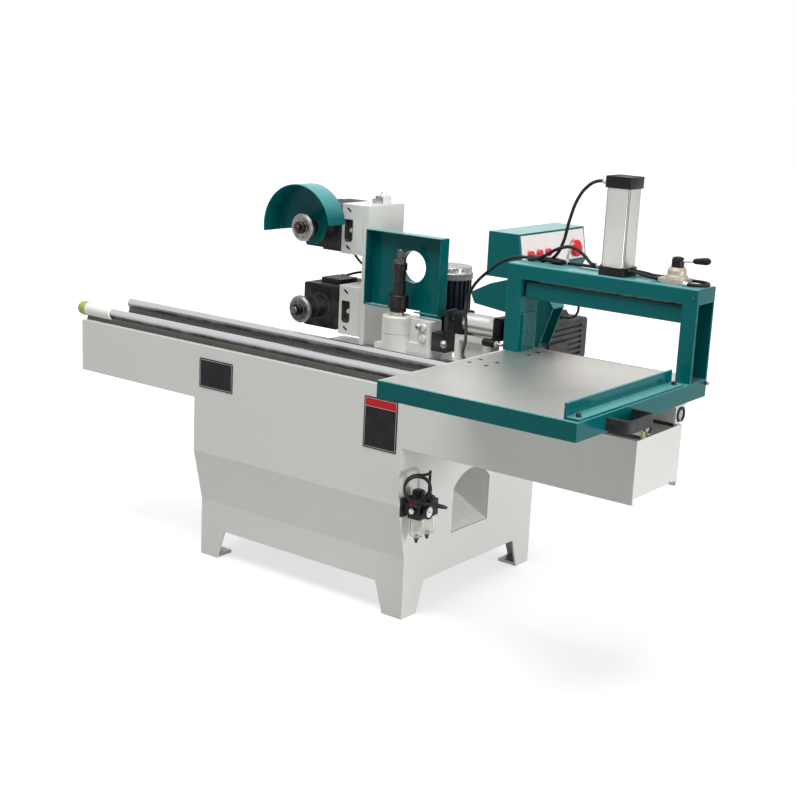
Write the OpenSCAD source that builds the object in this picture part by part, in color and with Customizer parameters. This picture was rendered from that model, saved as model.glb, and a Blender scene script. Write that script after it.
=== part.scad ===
// Tenoning machine: a cutter bed with a sliding table and a clamp gantry.
// X runs along the bed, Y away from the operator, Z up.
// The origin is the centre of the anchor holes, on the floor. Millimetres.

/* [Cabinet] */
// Width of the cabinet along the bed
cab_w = 800; // [760:10:840]
// Depth of the cabinet at its feet
foot_d = 680; // [660:10:720]
// How far the upper front stands out over the feet
front_step = 40; // [30:5:60]
// Height of the cabinet's top behind the beam
cab_top = 620; // [600:5:630]
// Height where the front starts to slope inward
band_hi = 350; // [320:5:380]
// Height where the slope ends
band_lo = 184; // [160:4:210]
// Sheet thickness of the housing
sheet = 6; // [5:1:8]
// Height of the cut-outs between the legs
leg_h = 94; // [70:2:120]
// Width of a leg at the floor
leg_w = 70; // [66:2:90]
// Width of a leg at the top of its cut-out
leg_w_top = 100; // [92:2:130]
// Diameter of the anchor holes
anchor_d = 14; // [10:1:18]

/* [Chip chute] */
// Width of the chute opening
chute_w = 192; // [150:2:230]
// Height of the chute's outer lip
chute_lip = 206; // [190:2:230]
// Height of the top of the arch
chute_top = 389; // [370:1:410]
// Length of the chute into the cabinet
chute_l = 170; // [120:5:220]
// Slope of the chute's floor
chute_slope = 28; // [22:1:32]

/* [Beam and rails] */
// Length of the beam
beam_l = 2030; // [1900:10:2160]
// How far the beam reaches past the cabinet's left wall
beam_left = 516; // [450:2:580]
// Height of the beam's underside
beam_z = 518; // [500:2:540]
// Height of the beam
beam_h = 166; // [150:2:180]
// Depth of the beam
beam_d = 245; // [235:5:260]
// Plate thickness of the beam
beam_t = 8; // [6:1:10]
// Diameter of the round rails
rail_d = 30; // [25:1:32]
// Distance between the rails
rail_gap = 180; // [170:2:190]
// Rail axis above the beam's top
rail_up = 33; // [30:1:38]
// Length of the stop sleeve on the front rail
sleeve_l = 115; // [80:5:150]
// Outer diameter of the stop sleeve
sleeve_d = 42; // [38:1:46]

/* [Table] */
// Length of the table along the bed
table_w = 562; // [520:2:600]
// Depth of the table
table_d = 659; // [620:1:680]
// Thickness of the table frame
table_t = 45; // [40:1:50]
// Thickness of the steel plate
plate_t = 10; // [8:1:14]
// How far the table stands out in front of the beam
table_over = 363; // [330:1:390]
// Rail axis below the table's underside
block_up = 38; // [34:1:42]
// Diameter of the stop holes in the plate
hole_d = 10; // [8:1:12]
// Pitch of the stop holes
hole_pitch = 52; // [44:2:60]
// Height of the fence's upright leg
fence_h = 38; // [30:1:50]
// Distance from the table's rear edge to the cutting line
line_gap = 84; // [80:1:100]

/* [Clamp] */
// Height of the gantry over the table
gantry_h = 242; // [230:2:260]
// Depth of the gantry channels
gantry_d = 98; // [90:2:110]
// Width of a post
post_w = 44; // [40:1:50]
// Wall of the channels
channel_t = 6; // [5:1:8]
// Height of the press beam
press_h = 46; // [40:1:56]
// Stroke of the clamp cylinder
stroke = 145; // [120:5:145]
// Width of the cylinder's end caps
cap_w = 75; // [70:1:84]
// Bore of the cylinder
cyl_bore = 52; // [46:1:54]
// Diameter of the piston rod
rod_d = 20; // [16:1:22]
// Outer diameter of the air hoses
hose_d = 9; // [8:0.5:9]

/* [Heads] */
// Position of the horizontal heads from the cabinet's right wall
head_x = -711; // [-730:1:-690]
// Height of the upper arbor
up_z = 1026; // [1016:1:1030]
// Height of the lower arbor
low_z = 763; // [756:1:770]
// Side of the square motors
motor_w = 144; // [130:2:146]
// Length of the square motors
motor_l = 210; // [190:5:230]
// Diameter of the arbor flange
flange_d = 88; // [76:1:100]
// Diameter of the arbor shaft
arbor_d = 36; // [30:1:40]
// Inner radius of the round guard
guard_r = 134; // [120:1:140]
// Depth of the round guard
guard_d = 82; // [70:1:90]

/* [Column] */
// Right face of the column from the cabinet's right wall
col_x = -526; // [-530:1:-520]
// Height of the column's top
col_top = 1105; // [1105:5:1140]
// Width of the dovetail at its neck
dove_w = 50; // [44:1:56]
// Depth of the dovetail
dove_h = 12; // [10:1:14]

/* [Vertical spindle] */
// Position of the spindle from the cabinet's right wall
vs_x = -339; // [-350:1:-330]
// Height of the spindle housing's top
house_top = 795; // [785:1:800]
// Diameter of the spindle housing
house_d = 94; // [86:1:100]
// Height of the arbor's tip
vs_tip = 998; // [980:1:1020]
// Width of the chip hood
hood_w = 287; // [260:1:300]
// Height of the chip hood
hood_h = 236; // [220:1:250]
// Diameter of the dust outlet
dust_d = 100; // [80:2:110]

/* [Saw] */
// Position of the saw from the cabinet's right wall
saw_x = 105; // [100:1:115]
// Height of the saw arbor
saw_z = 769; // [764:1:774]
// Width of the saw motor
saw_motor_d = 124; // [110:2:130]
// Length of the saw motor
saw_motor_l = 274; // [250:2:290]

/* [Controls] */
// Length of the control box
box_l = 380; // [340:10:400]
// Height of the control box
box_h = 134; // [124:2:144]
// Depth of the control box at its top
box_w = 104; // [96:2:110]
// Diameter of the stop button
stop_d = 52; // [40:1:60]

/* [Hidden] */
$fn = 48;
gap = 0.3;
run = 0.05;
y_low = -foot_d/2;
y_front = y_low - front_step;
y_back = foot_d/2;
y_step = y_front + beam_d;
wx = cab_w/2;
rib_n = 5;
beam_x0 = -wx - beam_left;
beam_x1 = beam_x0 + beam_l;
beam_top = beam_z + beam_h;
rail_y = y_front + 28;
rails_y = [rail_y, rail_y + rail_gap];
rail_z = beam_top + rail_up;
rail_x0 = beam_x0 + 2;
rail_x1 = beam_x1 + 11;
rail_l = rail_x1 - rail_x0;
tx1 = beam_x1 + 32;
tx0 = tx1 - table_w;
ty0 = y_front - table_over;
ty1 = ty0 + table_d;
tz0 = rail_z + block_up;
tz1 = tz0 + table_t;
blocks_x = [tx0 + 24, tx1 - 93];
block_l = 70;
hole_x = tx0 + 33;
hole_y = ty1 - 308;
gy0 = ty1 - gantry_d;
gym = (gy0 + ty1)/2;
gz1 = tz1 + gantry_h;
channel_h = 40;
gz0 = gz1 - channel_h;
press_z1 = gz0 - 8;
cyl_x = (tx0 + tx1)/2 + 25;
valve_x = tx1 - 87;
cyl_z1 = gz1 + stroke + 111;
fence_x = tx1 - 43;
line_y = ty1 + line_gap;
motor_h = motor_w - 2;
motor_y = 106;
shield = 40;
cover = 46;
fin_h = 6;
guard_y = -30;
col_y = [105, 290];
col_in = 165;
col_t = 64;
col_wall = 20;
dove_y = 225;
brk_x = head_x + motor_w/2;
vs_y = 30;
hood_z = house_top + 11;
hood_x = vs_x - hood_w/2 - 8;
dust_x = vs_x + 5;
pod_z = house_top - 115;
shift_z = house_top + 9;
shift_y = 60;
car_x1 = vs_x + 129;
way_x0 = col_x + 6;
way_x1 = car_x1 + 60;
way_y = 85;
way_h = 24;
base_x = -120;
saw_foot = saw_z - saw_motor_d/2 - 12;
chute_y = -14;
chute_t = 4;
frl_x = wx + 40;
frl_y = y_front + 38;
lub_y = frl_y + 51;
box_x = wx - 82;
box_z = 943;
box_y = y_back - 220;
panel_h = 100;
row_down = 63;
panel_a = 10;
slope_out = tan(panel_a);
start_y = [for (i = [0:2]) box_y + 46 + 50*i];
stop_y = box_y + box_l - 75;
stem_d = 12;
hose_r = hose_d/2;
coil_r = 4;

// A block between two corners
module bx(a, b) translate(a) cube(b - a);
// Round bars along each axis, from a start point
module rx(p, d, l) translate(p) rotate([0, 90, 0]) cylinder(d = d, h = l);
module ry(p, d, l) translate(p) rotate([-90, 0, 0]) cylinder(d = d, h = l);
module rz(p, d, l) translate(p) cylinder(d = d, h = l);
// A profile in Y and Z, drawn out along X
module along_x(x, l) translate([x, 0, 0]) rotate([90, 0, 90]) linear_extrude(l) children();
// A profile in X and Z, drawn out along Y
module along_y(y, l) translate([0, y + l, 0]) rotate([90, 0, 0]) linear_extrude(l) children();
// A hexagon head along Z
module hex(p, w, h) translate(p) cylinder(d = w*2/sqrt(3), h = h, $fn = 6);

// Turned pieces laid along X or Y, and a turned piece from [radius, height] pairs
module to_x(p) translate(p) rotate([0, 90, 0]) children();
module to_y(p) translate(p) rotate([-90, 0, 0]) children();
module turned(p) rotate_extrude() polygon(concat([[0, p[0].y]], p, [[0, p[len(p) - 1].y]]));
// Everything that is set out from the cabinet's right wall and the cutting line
module at_line() translate([wx, line_y, 0]) children();
// A rectangle with round corners, centred
module rounded(w, h, r) {
  square([w - 2*r, h], center = true);
  square([w, h - 2*r], center = true);
  for (i = [-1, 1], j = [-1, 1]) translate([i*(w/2 - r), j*(h/2 - r)]) circle(r);
}
// A folded channel: the web's outer face on the X axis, the flanges hanging down
module channel(w, h, t) difference() {
  union() {
    translate([-w/2, -h]) square([w, h - t]);
    translate([-w/2 + t, -h]) square([w - 2*t, h]);
    for (i = [-1, 1]) translate([i*(w/2 - t), -t]) circle(t);
  }
  translate([-w/2 + t, -h - 1]) square([w - 2*t, h - t + 1]);
}
// A motor section with cooling slots on its four sides
module finned(w, h, r, n, s) difference() {
  rounded(w, h, r);
  for (i = [0:n - 1], k = [-1, 1]) {
    translate([(i - (n - 1)/2)*(w - 2*r)/n, k*h/2]) square([s, 2*fin_h], center = true);
    translate([k*w/2, (i - (n - 1)/2)*(h - 2*r)/n]) square([2*fin_h, s], center = true);
  }
}
// Half of a dovetail: depth and half width, grown by a clearance
function dove(w, h, c) = [[-1, w/2 + (c - 0.5)/cos(30)], [0, w/2 + c/cos(30)],
  [h + c, w/2 + (h + c)*tan(30) + c/cos(30)]];

// A line drawn in to its right by a wall's thickness
function right_of(a, b) = let(d = unit(b - a)) [d.y, -d.x];
function drawn_in(p, t) = [for (i = [0:len(p) - 1]) let(m = right_of(p[max(i - 1, 0)], p[max(i, 1)]),
  n = right_of(p[min(i, len(p) - 2)], p[min(i + 1, len(p) - 1)])) p[i] + t*(m + n)/(1 + m*n)];

// A soft tube through hand-chosen points
function unit(v) = v/norm(v);
// A round bend at the corner b, on the way from a to c
function turn(a, b, c, r, k) = let(u = unit(a - b), v = unit(c - b), h = acos(u*v)/2,
  m = b + unit(u + v)*r/sin(h), e = (b + u*r/tan(h) - m)/r, g = b + v*r/tan(h) - m, f = unit(g - (g*e)*e))
  [for (i = [0:k]) let(w = (180 - 2*h)*i/k) m + r*(cos(w)*e + sin(w)*f)];
// The least distance between points of a tube more than a bend apart
function spread(p, skip) = min([for (i = [0:len(p) - 1], j = [i + skip:1:len(p) - 1]) norm(p[i] - p[j])]);
function mix(a, b, c, d, t) = 0.5*(2*b + (c - a)*t + (2*a - 5*b + 4*c - d)*t*t + (3*b - a - 3*c + d)*t*t*t);
function smooth(p, k) = let(n = len(p) - 1)
  concat([for (i = [0:n - 1], j = [0:k - 1])
    mix(p[max(i - 1, 0)], p[i], p[i + 1], p[min(i + 2, n)], j/k)], [p[n]]);
// The same, with a straight start and end
function led(p, k) = let(n = len(p) - 1) concat([p[0]], smooth([for (i = [1:n - 1]) p[i]], k), [p[n]]);
function dir(p, i) = i == 0 ? unit(p[1] - p[0])
  : i == len(p) - 1 ? unit(p[i] - p[i - 1])
  : unit(unit(p[i + 1] - p[i]) + unit(p[i] - p[i - 1]));
function side(p, i) = let(t = dir(p, i),
  s = i == 0 ? (abs(t.z) < 0.8 ? cross(t, [0, 0, 1]) : cross(t, [0, 1, 0])) : side(p, i - 1))
  unit(s - (s*t)*t);
module tube(p, r, n) {
  pts = [for (i = [0:len(p) - 1]) let(u = side(p, i), v = cross(dir(p, i), u))
    for (j = [0:n - 1]) p[i] + r*cos(360*j/n)*u + r*sin(360*j/n)*v];
  m = len(p);
  polyhedron(pts, concat([[for (j = [0:n - 1]) j]], [[for (j = [n - 1:-1:0]) (m - 1)*n + j]],
    [for (i = [0:m - 2], j = [0:n - 1]) [i*n + (j + 1)%n, i*n + j, (i + 1)*n + j]],
    [for (i = [0:m - 2], j = [0:n - 1]) [i*n + (j + 1)%n, (i + 1)*n + j, (i + 1)*n + (j + 1)%n]]),
      convexity = 8);
}

module arch(w, z0, z1) {
  rise = 47;
  r = (w*w/4 + rise*rise)/(2*rise);
  translate([-w/2, z0]) square([w, z1 - rise - z0]);
  intersection() {
    translate([0, z1 - r]) circle(r);
    translate([-w/2, z1 - rise - 1]) square([w, rise + 2]);
  }
}

module cabinet() color([0.86, 0.86, 0.83]) difference() {
  along_x(-wx, cab_w) polygon([[y_front, beam_z], [y_step, beam_z], [y_step, cab_top], [y_back, cab_top],
    [y_back, 0], [y_low, 0], [y_low, band_lo], [y_front, band_hi]]);
  along_x(-wx + sheet, cab_w - 2*sheet) polygon([[y_front + sheet, beam_z - sheet],
    [y_step + sheet, beam_z - sheet], [y_step + sheet, cab_top - sheet], [y_back - sheet, cab_top - sheet],
    [y_back - sheet, -1], [y_low + sheet, -1], [y_low + sheet, band_lo + 2],
      [y_front + sheet, band_hi + 2]]);
  along_y(y_low - 1, foot_d + 2) polygon([[-wx + leg_w, -1], [-wx + leg_w_top, leg_h],
    [wx - leg_w_top, leg_h], [wx - leg_w, -1]]);
  along_x(-wx - 1, cab_w + 2) polygon([[y_low + leg_w, -1], [y_low + leg_w_top, leg_h],
    [y_back - leg_w_top, leg_h], [y_back - leg_w, -1]]);
  translate([0, chute_y, 0]) along_x(wx - sheet - 1, sheet + 2) arch(chute_w, chute_lip, chute_top);
}

module chip_chute() color([0.84, 0.84, 0.81]) {
  x1 = wx - sheet;
  x0 = x1 - chute_l;
  z0 = chute_lip + chute_l*tan(chute_slope);
  translate([0, chute_y, 0]) difference() {
    along_x(x0, chute_l) arch(chute_w + 2*chute_t, chute_lip - chute_t, chute_top + chute_t);
    along_x(x0 - 1, chute_l + 2) arch(chute_w, chute_lip, chute_top);
    along_y(-chute_w, 2*chute_w) polygon([[x1 + 1, chute_lip - 20], [x1 + 1, chute_lip - tan(chute_slope)],
      [x0 - 1, z0 + tan(chute_slope)], [x0 - 1, chute_lip - 20]]);
  }
  along_y(chute_y - chute_w/2 - chute_t, chute_w + 2*chute_t) polygon([[x1, chute_lip - chute_t],
    [x1, chute_lip],
    [x0, z0], [x0, z0 - chute_t]]);
}

module foot_plates() color([0.5, 0.5, 0.5]) {
  w = leg_w - sheet - 2;
  for (i = [-1, 1], j = [-1, 1]) difference() {
    translate([i*(wx - sheet - w/2), j*(y_back - sheet - w/2), 5]) cube([w, w, 10], center = true);
    rz([i*(wx - sheet - w/2), j*(y_back - sheet - w/2), -1], anchor_d, 12);
  }
}

module beam() color([0.87, 0.87, 0.84]) difference() {
  bx([beam_x0, y_front, beam_z], [beam_x1, y_step, beam_top]);
  for (i = [0:rib_n]) {
    x = beam_x0 + i*beam_l/(rib_n + 1);
    bx([x + (i == 0 ? beam_t : beam_t/2), y_front + beam_t, beam_z - 1],
      [x + beam_l/(rib_n + 1) - (i == rib_n ? beam_t : beam_t/2), y_step - beam_t, beam_top - beam_t]);
  }
  bx([beam_x0 - 1, y_front + beam_t, beam_z - 1], [beam_x1 + 1, y_step - beam_t, beam_z + 15]);
  rx([beam_x1 - beam_t - 1, y_step - 40, beam_z + 15], 10, beam_t + 2);
}

module rails() color([0.85, 0.86, 0.88]) for (y = rails_y) to_x([rail_x0, y, rail_z])
  turned([[rail_d/2 - 3, 0], [rail_d/2, 3], [rail_d/2, rail_l - 3], [rail_d/2 - 3, rail_l]]);

module rail_seats() color([0.8, 0.81, 0.82]) difference() {
  h = rail_up - rail_d/2 + 3;
  for (y = rails_y) translate([0, y, beam_top]) along_x(rail_x0, beam_x1 - 2 - rail_x0)
    polygon([[-9, 0], [9, 0], [9, 5], [6, 9], [6, h], [-6, h], [-6, 9], [-9, 5]]);
  for (y = rails_y) rx([rail_x0 - 1, y, rail_z], rail_d, rail_l);
}

module stop_sleeve() color([0.93, 0.93, 0.9]) difference() {
  to_x([rail_x0, rail_y, rail_z]) turned([[sleeve_d/2, 0], [sleeve_d/2, sleeve_l - 2],
    [sleeve_d/2 - 2, sleeve_l]]);
  rx([rail_x0 - 1, rail_y, rail_z], rail_d, sleeve_l + 2);
  bx([rail_x0 - 1, rail_y - 6, rail_z - sleeve_d], [rail_x0 + sleeve_l + 1, rail_y + 6, rail_z]);
}

module bumper() color([0.66, 0.68, 0.35]) translate([rail_x0, rail_y, rail_z]) rotate([0, -90, 0])
  let(r = sleeve_d/2 + 2) turned([[r - 1, 0], [r, 1], [r, 22], [r - 1.4, 29], [r - 4.8, 34.5],
    [r - 9, 37.5],
    [r - 14, 39]]);

// A bare plate on the front, with a rivet in each corner
module front_plate(x, z, w, h) translate([x + w/2, y_front, z + h/2]) rotate([90, 0, 0]) {
  linear_extrude(1.5) rounded(w, h, 4);
  for (i = [-1, 1], j = [-1, 1]) translate([i*(w/2 - 6), j*(h/2 - 6), 1.5])
    turned([[2.5, 0], [2.2, 0.6], [1.2, 1]]);
}
module name_plate() color([0.1, 0.1, 0.1]) front_plate(-wx + 22, beam_z + 38, 138, 91);

module notice_plate() color([0.1, 0.1, 0.1]) front_plate(wx - 134, beam_z - 20, 117, 148);

// The column: a thick front web, a hollow body and a dovetail tongue for the heads
module column() color([0.87, 0.87, 0.84]) at_line() difference() {
  t = dove(dove_w, dove_h, 0);
  translate([col_x - col_t, dove_y, cab_top]) linear_extrude(col_top - cab_top) polygon(concat(
    [[col_t, col_y[0] - dove_y], [col_t, col_y[1] - dove_y], [0, col_y[1] - dove_y]],
    [for (p = [t[1], t[2]]) [-p.x, p.y]], [for (p = [t[2], t[1]]) [-p.x, -p.y]],
    [[0, col_in - dove_y], [col_t - col_wall, col_in - dove_y], [col_t - col_wall, col_y[0] - dove_y]]));
  bx([col_x - col_t + 10, col_in + 12, cab_top - 1], [col_x - 10, col_y[1] - 12, col_top - col_wall]);
}

module screw_block() color([0.6, 0.6, 0.6]) at_line() translate([col_x - 26, 0, col_top]) {
  along_y(186, 44) polygon([[-26, 0], [18, 0], [18, 22], [14, 26], [-14, 26], [-14, 16], [-26, 16]]);
  translate([0, 208, 26]) turned([[13, 0], [13, 5], [12, 6], [7, 6], [7, 15], [6, 16]]);
}

module saw_bracket() color([0.86, 0.86, 0.83]) at_line() {
  bx([0, 115, cab_top - 110], [12, 280, saw_foot]);
  bx([0, 115, saw_foot - 12], [saw_x + 66, 280, saw_foot]);
  for (y = [125, 258]) along_y(y, 12) polygon([[10, cab_top - 90], [10, saw_foot - 10],
    [saw_x + 58, saw_foot - 10], [saw_x + 58, saw_foot - 22]]);
}

module saw_motor() color([0.1, 0.1, 0.11]) at_line() difference() {
  d = saw_motor_d;
  union() {
    to_y([saw_x, 40, saw_z]) {
      linear_extrude(14) rounded(d, d, 12);
      translate([0, 0, 13]) linear_extrude(saw_motor_l - 46) finned(d, d, 12, 6, 7);
      translate([0, 0, saw_motor_l - 34]) linear_extrude(30) rounded(d, d, 8);
      translate([0, 0, saw_motor_l - 4]) linear_extrude(4) rounded(d - 8, d - 8, 6);
    }
    bx([saw_x - 52, 120, saw_foot], [saw_x + 52, 215, saw_foot + 20]);
    translate([saw_x, 0, saw_z + d/2]) along_y(120, 84) polygon([[2, -fin_h - 2], [58, -fin_h - 2], [58, 20],
      [48, 32], [12, 32], [2, 22]]);
    bx([saw_x + d/2 - 8, 84, saw_z - 32], [saw_x + d/2 + 7, 190, saw_z + 4]);
  }
  ry([saw_x, 39, saw_z], 28 + 2*run, 46);
}

// The hood's roof line over the saw; its front comes lower behind the cut than before it
roof = [[-131, 113], [-147, 144], [-80, 178], [-26, 195], [45, 199], [100, 180], [134, 136]];
module saw_hood() color([0.07, 0.36, 0.37]) at_line() difference() {
  translate([saw_x, 0, saw_z]) {
    difference() {
      along_y(-20, 60) polygon(concat(roof, [[94, 18], [45, 18], [40, 95]]));
      along_y(-17, 54) polygon(concat(drawn_in(roof, 3), [[150, 110], [150, 0], [-135, 0], [-135, 100]]));
    }
    along_y(37, 3) polygon([[-50, 110], [-50, -35], [50, -35], [50, 110]]);
  }
  ry([saw_x, 30, saw_z], 60, 20);
}

module control_post() color([0.86, 0.86, 0.83]) translate([box_x + box_w/2 - 5, y_back - 26, cab_top]) {
  translate([-3, 0, 0]) linear_extrude(8) rounded(74, 50, 6);
  translate([0, 0, 8]) linear_extrude(box_z - cab_top - 8) difference() {
    rounded(40, 40, 5);
    rounded(34, 34, 2);
  }
}

// The box's section, drawn in by a wall
function box_2d(t) = [[box_x + t, box_z + t], [box_x + t, box_z + box_h - t],
  [box_x + box_w - t, box_z + box_h - t],
  [box_x + box_w - t + (panel_h - t)*slope_out, box_z + box_h - panel_h], [box_x + box_w - t, box_z + t]];
module control_box() color([0.07, 0.36, 0.37]) difference() {
  along_y(box_y, box_l) polygon(box_2d(0));
  along_y(box_y + 3, box_l - 6) polygon(box_2d(3));
  ry([box_x + 32, box_y + box_l - 10, box_z + 22], 22, 20);
  stem_holes();
}

module control_panel() color([0.9, 0.9, 0.88]) difference() {
  along_y(box_y + 8, box_l - 16) translate([box_x + box_w, box_z + box_h]) polygon([[6*slope_out, -6],
    [(panel_h - 6)*slope_out, 6 - panel_h], [2 + (panel_h - 6)*slope_out, 6.4 - panel_h],
      [2 + 6*slope_out, -5.6]]);
  stem_holes();
}

// The row of buttons on the slanted panel, with Z pointing out of it
module on_panel(y) translate([box_x + box_w + row_down*slope_out, y, box_z + box_h - row_down])
  rotate([0, 90 - panel_a, 0]) children();
module stem_holes() for (y = concat(start_y, [stop_y])) on_panel(y) translate([0, 0, -8])
  cylinder(d = stem_d + 2*gap, h = 16);

module button(y, d, h) on_panel(y) turned([[stem_d/2, 2.2], [stem_d/2, 8], [d/2 - 1, 8], [d/2, 9],
  [d/2, 5 + h],
  [d/2 - 1.2, 7 + h], [d/4, 8 + h]]);
module stop_button() color([0.75, 0.08, 0.08]) button(stop_y, stop_d, 12);
module start_button_1() color([0.75, 0.08, 0.08]) button(start_y[0], 24, 8);
module start_button_2() color([0.75, 0.08, 0.08]) button(start_y[1], 24, 8);
module start_button_3() color([0.75, 0.08, 0.08]) button(start_y[2], 24, 8);

// A dovetail way for the spindle's carriage
module slideway() color([0.55, 0.55, 0.54]) at_line() {
  t = dove(40, way_h, 0);
  bx([way_x0, 20, cab_top], [way_x1, 150, cab_top + 20]);
  translate([0, way_y, cab_top + 20]) along_x(way_x0, way_x1 - way_x0)
    polygon(concat([for (p = [t[1], t[2]]) [p.y, p.x]], [for (p = [t[2], t[1]]) [-p.y, p.x]]));
}

module cylinder_seat() color([0.86, 0.86, 0.83]) at_line() difference() {
  bx([base_x, 28, cab_top], [-2, 92, shift_z - 34]);
  bx([base_x + 16, 27, cab_top + 16], [-18, 52, shift_z - 50]);
  bx([base_x + 16, 68, cab_top + 16], [-18, 93, shift_z - 50]);
}

module shift_cylinder() color([0.8, 0.8, 0.8]) at_line() to_x([base_x - 6, shift_y, shift_z]) difference() {
  l = 162;
  union() {
    linear_extrude(28) rounded(68, 68, 9);
    translate([0, 0, l - 22]) linear_extrude(22) rounded(68, 68, 9);
    translate([0, 0, 27]) cylinder(d = 62, h = l - 48);
    for (i = [-1, 1], j = [-1, 1]) translate([27*i, 27*j, l]) turned([[5.5, 0], [5.5, 4], [4.5, 5]]);
  }
  translate([0, 0, 28]) cylinder(d = 54, h = l - 50);
  translate([0, 0, -1]) cylinder(d = 16 + 2*run, h = 40);
}

module air_unit() color([0.11, 0.11, 0.12]) {
  bx([wx, frl_y - 30, 318], [wx + 8, frl_y + 80, 372]);
  bx([wx + 8, frl_y - 22, 330], [wx + 22, frl_y + 72, 360]);
  for (y = [frl_y, lub_y]) translate([frl_x, y, 318]) {
    linear_extrude(46) rounded(44, 42, 6);
    translate([0, 0, 45]) turned([[20, 0], [20, 4], [18, 7]]);
  }
  bx([frl_x - 20, frl_y + 19, 330], [frl_x + 20, lub_y - 19, 360]);
  translate([frl_x, lub_y, 369]) turned([[11, 0], [11, 6], [8, 7], [8, 11]]);
  to_y([frl_x, frl_y - 27, 343]) turned([[9, 0], [9, 7]]);
  rx([frl_x + 21, frl_y, 343], 12, 7);
}

module air_bowls() color([0.85, 0.87, 0.86, 0.6]) for (y = [frl_y, lub_y]) translate([frl_x, y, 0])
  rotate_extrude() polygon([[0, 256], [8, 256], [8, 262], [13, 262], [18, 266], [20, 272], [20, 318],
    [17.5, 318],
    [17.5, 274], [16, 269], [0, 267]]);

module air_gauge() color([0.9, 0.9, 0.9]) to_x([frl_x + 28, frl_y, 343]) rotate_extrude()
  polygon([[0, 0], [14, 0], [18, 3], [18, 13], [17, 14], [15.5, 14], [15.5, 12], [0, 12]]);

module air_knob() color([0.13, 0.13, 0.14]) translate([frl_x, frl_y, 370 + gap]) {
  linear_extrude(24) difference() {
    circle(18);
    for (a = [0:24:336]) rotate(a) translate([18.8, 0]) circle(2.2);
  }
  translate([0, 0, 24]) turned([[17, 0], [16, 4], [12, 6]]);
}

// The spare air line: up from the oiler, two and a half turns, then round into the wall
coil_a = [cos(36.5), sin(36.5), 0];
coil_n = [sin(36.5), -cos(36.5), 0];
coil_c = [frl_x + 12, frl_y - 23, 414];
coil_in = [frl_x, lub_y, 380 + gap];
coil_k = [coil_in.x, coil_in.y, coil_c.z + 36];
coil_m = coil_k + ((coil_c - coil_k)*coil_n)*coil_n;
coil_e = coil_c + 23*coil_n - [0, 0, 36];
coil_o = coil_e + 85*[-coil_a.y, coil_a.x, 0];
coil_p = concat([coil_in, coil_in + [0, 0, 16]], turn(coil_in, coil_k, coil_m, 33, 6),
  turn(coil_k, coil_m, coil_c + [0, 0, 36], 33, 6),
  [for (i = [1:59]) coil_c + 36*cos(90 + 15*i)*coil_a + [0, 0, 36*sin(90 + 15*i)] + 23*i/60*coil_n],
  [for (i = [0:20]) let(w = 36.5 + 143.5*i/20) [coil_o.x + 85*sin(w), coil_o.y - 85*cos(w),
    coil_e.z - 28*(1 - cos(9*i))]],
  [[wx + gap, coil_o.y + 85, coil_e.z - 56]]);
echo(coil_gap = spread(coil_p, 12) - 2*coil_r);
module air_coil() color([0.06, 0.06, 0.06]) tube(coil_p, coil_r, 6);

module table_frame() color([0.07, 0.36, 0.37]) difference() {
  bx([tx0, ty0, tz0], [tx1, ty1, tz1]);
  bx([tx0 + 10, ty0 + 10, tz1 - plate_t], [tx1 - 10, ty1 - 10, tz1 + 1]);
  bx([tx0 + 110, ty0 + 28, tz0 - 1], [tx1 - 110, ty1 - 28, tz1]);
  stop_holes(tz0 - 1);
}

module stop_holes(z) {
  for (x = [0, 1], y = [0, 1]) rz([hole_x + x*hole_pitch, hole_y + y*hole_pitch, z], hole_d, 90);
  for (y = [0, 1]) rz([hole_x + 54, ty1 - 104 + 50*y, z], hole_d, 90);
}

module table_plate() color([0.78, 0.78, 0.76]) difference() {
  bx([tx0 + 10, ty0 + 10, tz1 - plate_t], [tx1 - 10, ty1 - 10, tz1]);
  stop_holes(tz0);
}

module bearing_blocks() color([0.88, 0.88, 0.86]) for (x = blocks_x, y = rails_y) translate([0, y, rail_z])
  along_x(x, block_l) difference() {
    polygon([[-30, block_up], [-30, block_up - 12], [-26, block_up - 16], [-26, -14], [-18, -22],
      [18, -22], [26, -14],
      [26, block_up - 16], [30, block_up - 12], [30, block_up]]);
    circle(d = rail_d + 2*run);
    translate([-9, -40]) square([18, 40]);
  }

module seal_rings() color([0.05, 0.05, 0.05]) for (y = rails_y, x = [blocks_x[0] - 4,
  blocks_x[1] + block_l])
  translate([0, y, rail_z]) along_x(x, 4) difference() {
    circle(d = 42);
    circle(d = rail_d + 2*run);
    translate([-9, -40]) square([18, 40]);
  }

module fence() color([0.09, 0.42, 0.42]) difference() {
  translate([fence_x, 0, tz1]) along_y(ty0 + 13, gy0 - 43 - ty0) polygon([[0, 0], [39, 0], [39, 5],
    [38, 6], [10, 6],
    [7, 7], [6, 10], [6, fence_h - 1], [5, fence_h], [0, fence_h]]);
  for (y = [ty0 + 35, gy0 - 55]) rz([tx1 - 18, y, tz1 - 1], 9, 8);
}

module fence_bolts() color([0.08, 0.08, 0.08]) for (y = [ty0 + 35, gy0 - 55]) translate([tx1 - 18, y, tz1])
  difference() {
    turned([[4.5, 0], [4.5, 6], [6.5, 6], [6.5, 13], [5.5, 14]]);
    hex([0, 0, 10], 6, 5);
  }

module handle() color([0.08, 0.08, 0.08]) translate([tx1, ty0 + 197,
  tz0 + 5]) linear_extrude(30) intersection() {
  translate([10, 0]) difference() {
    rounded(100, 128, 16);
    rounded(88, 116, 10);
  }
  translate([0, -70]) square([70, 140]);
}

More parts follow.
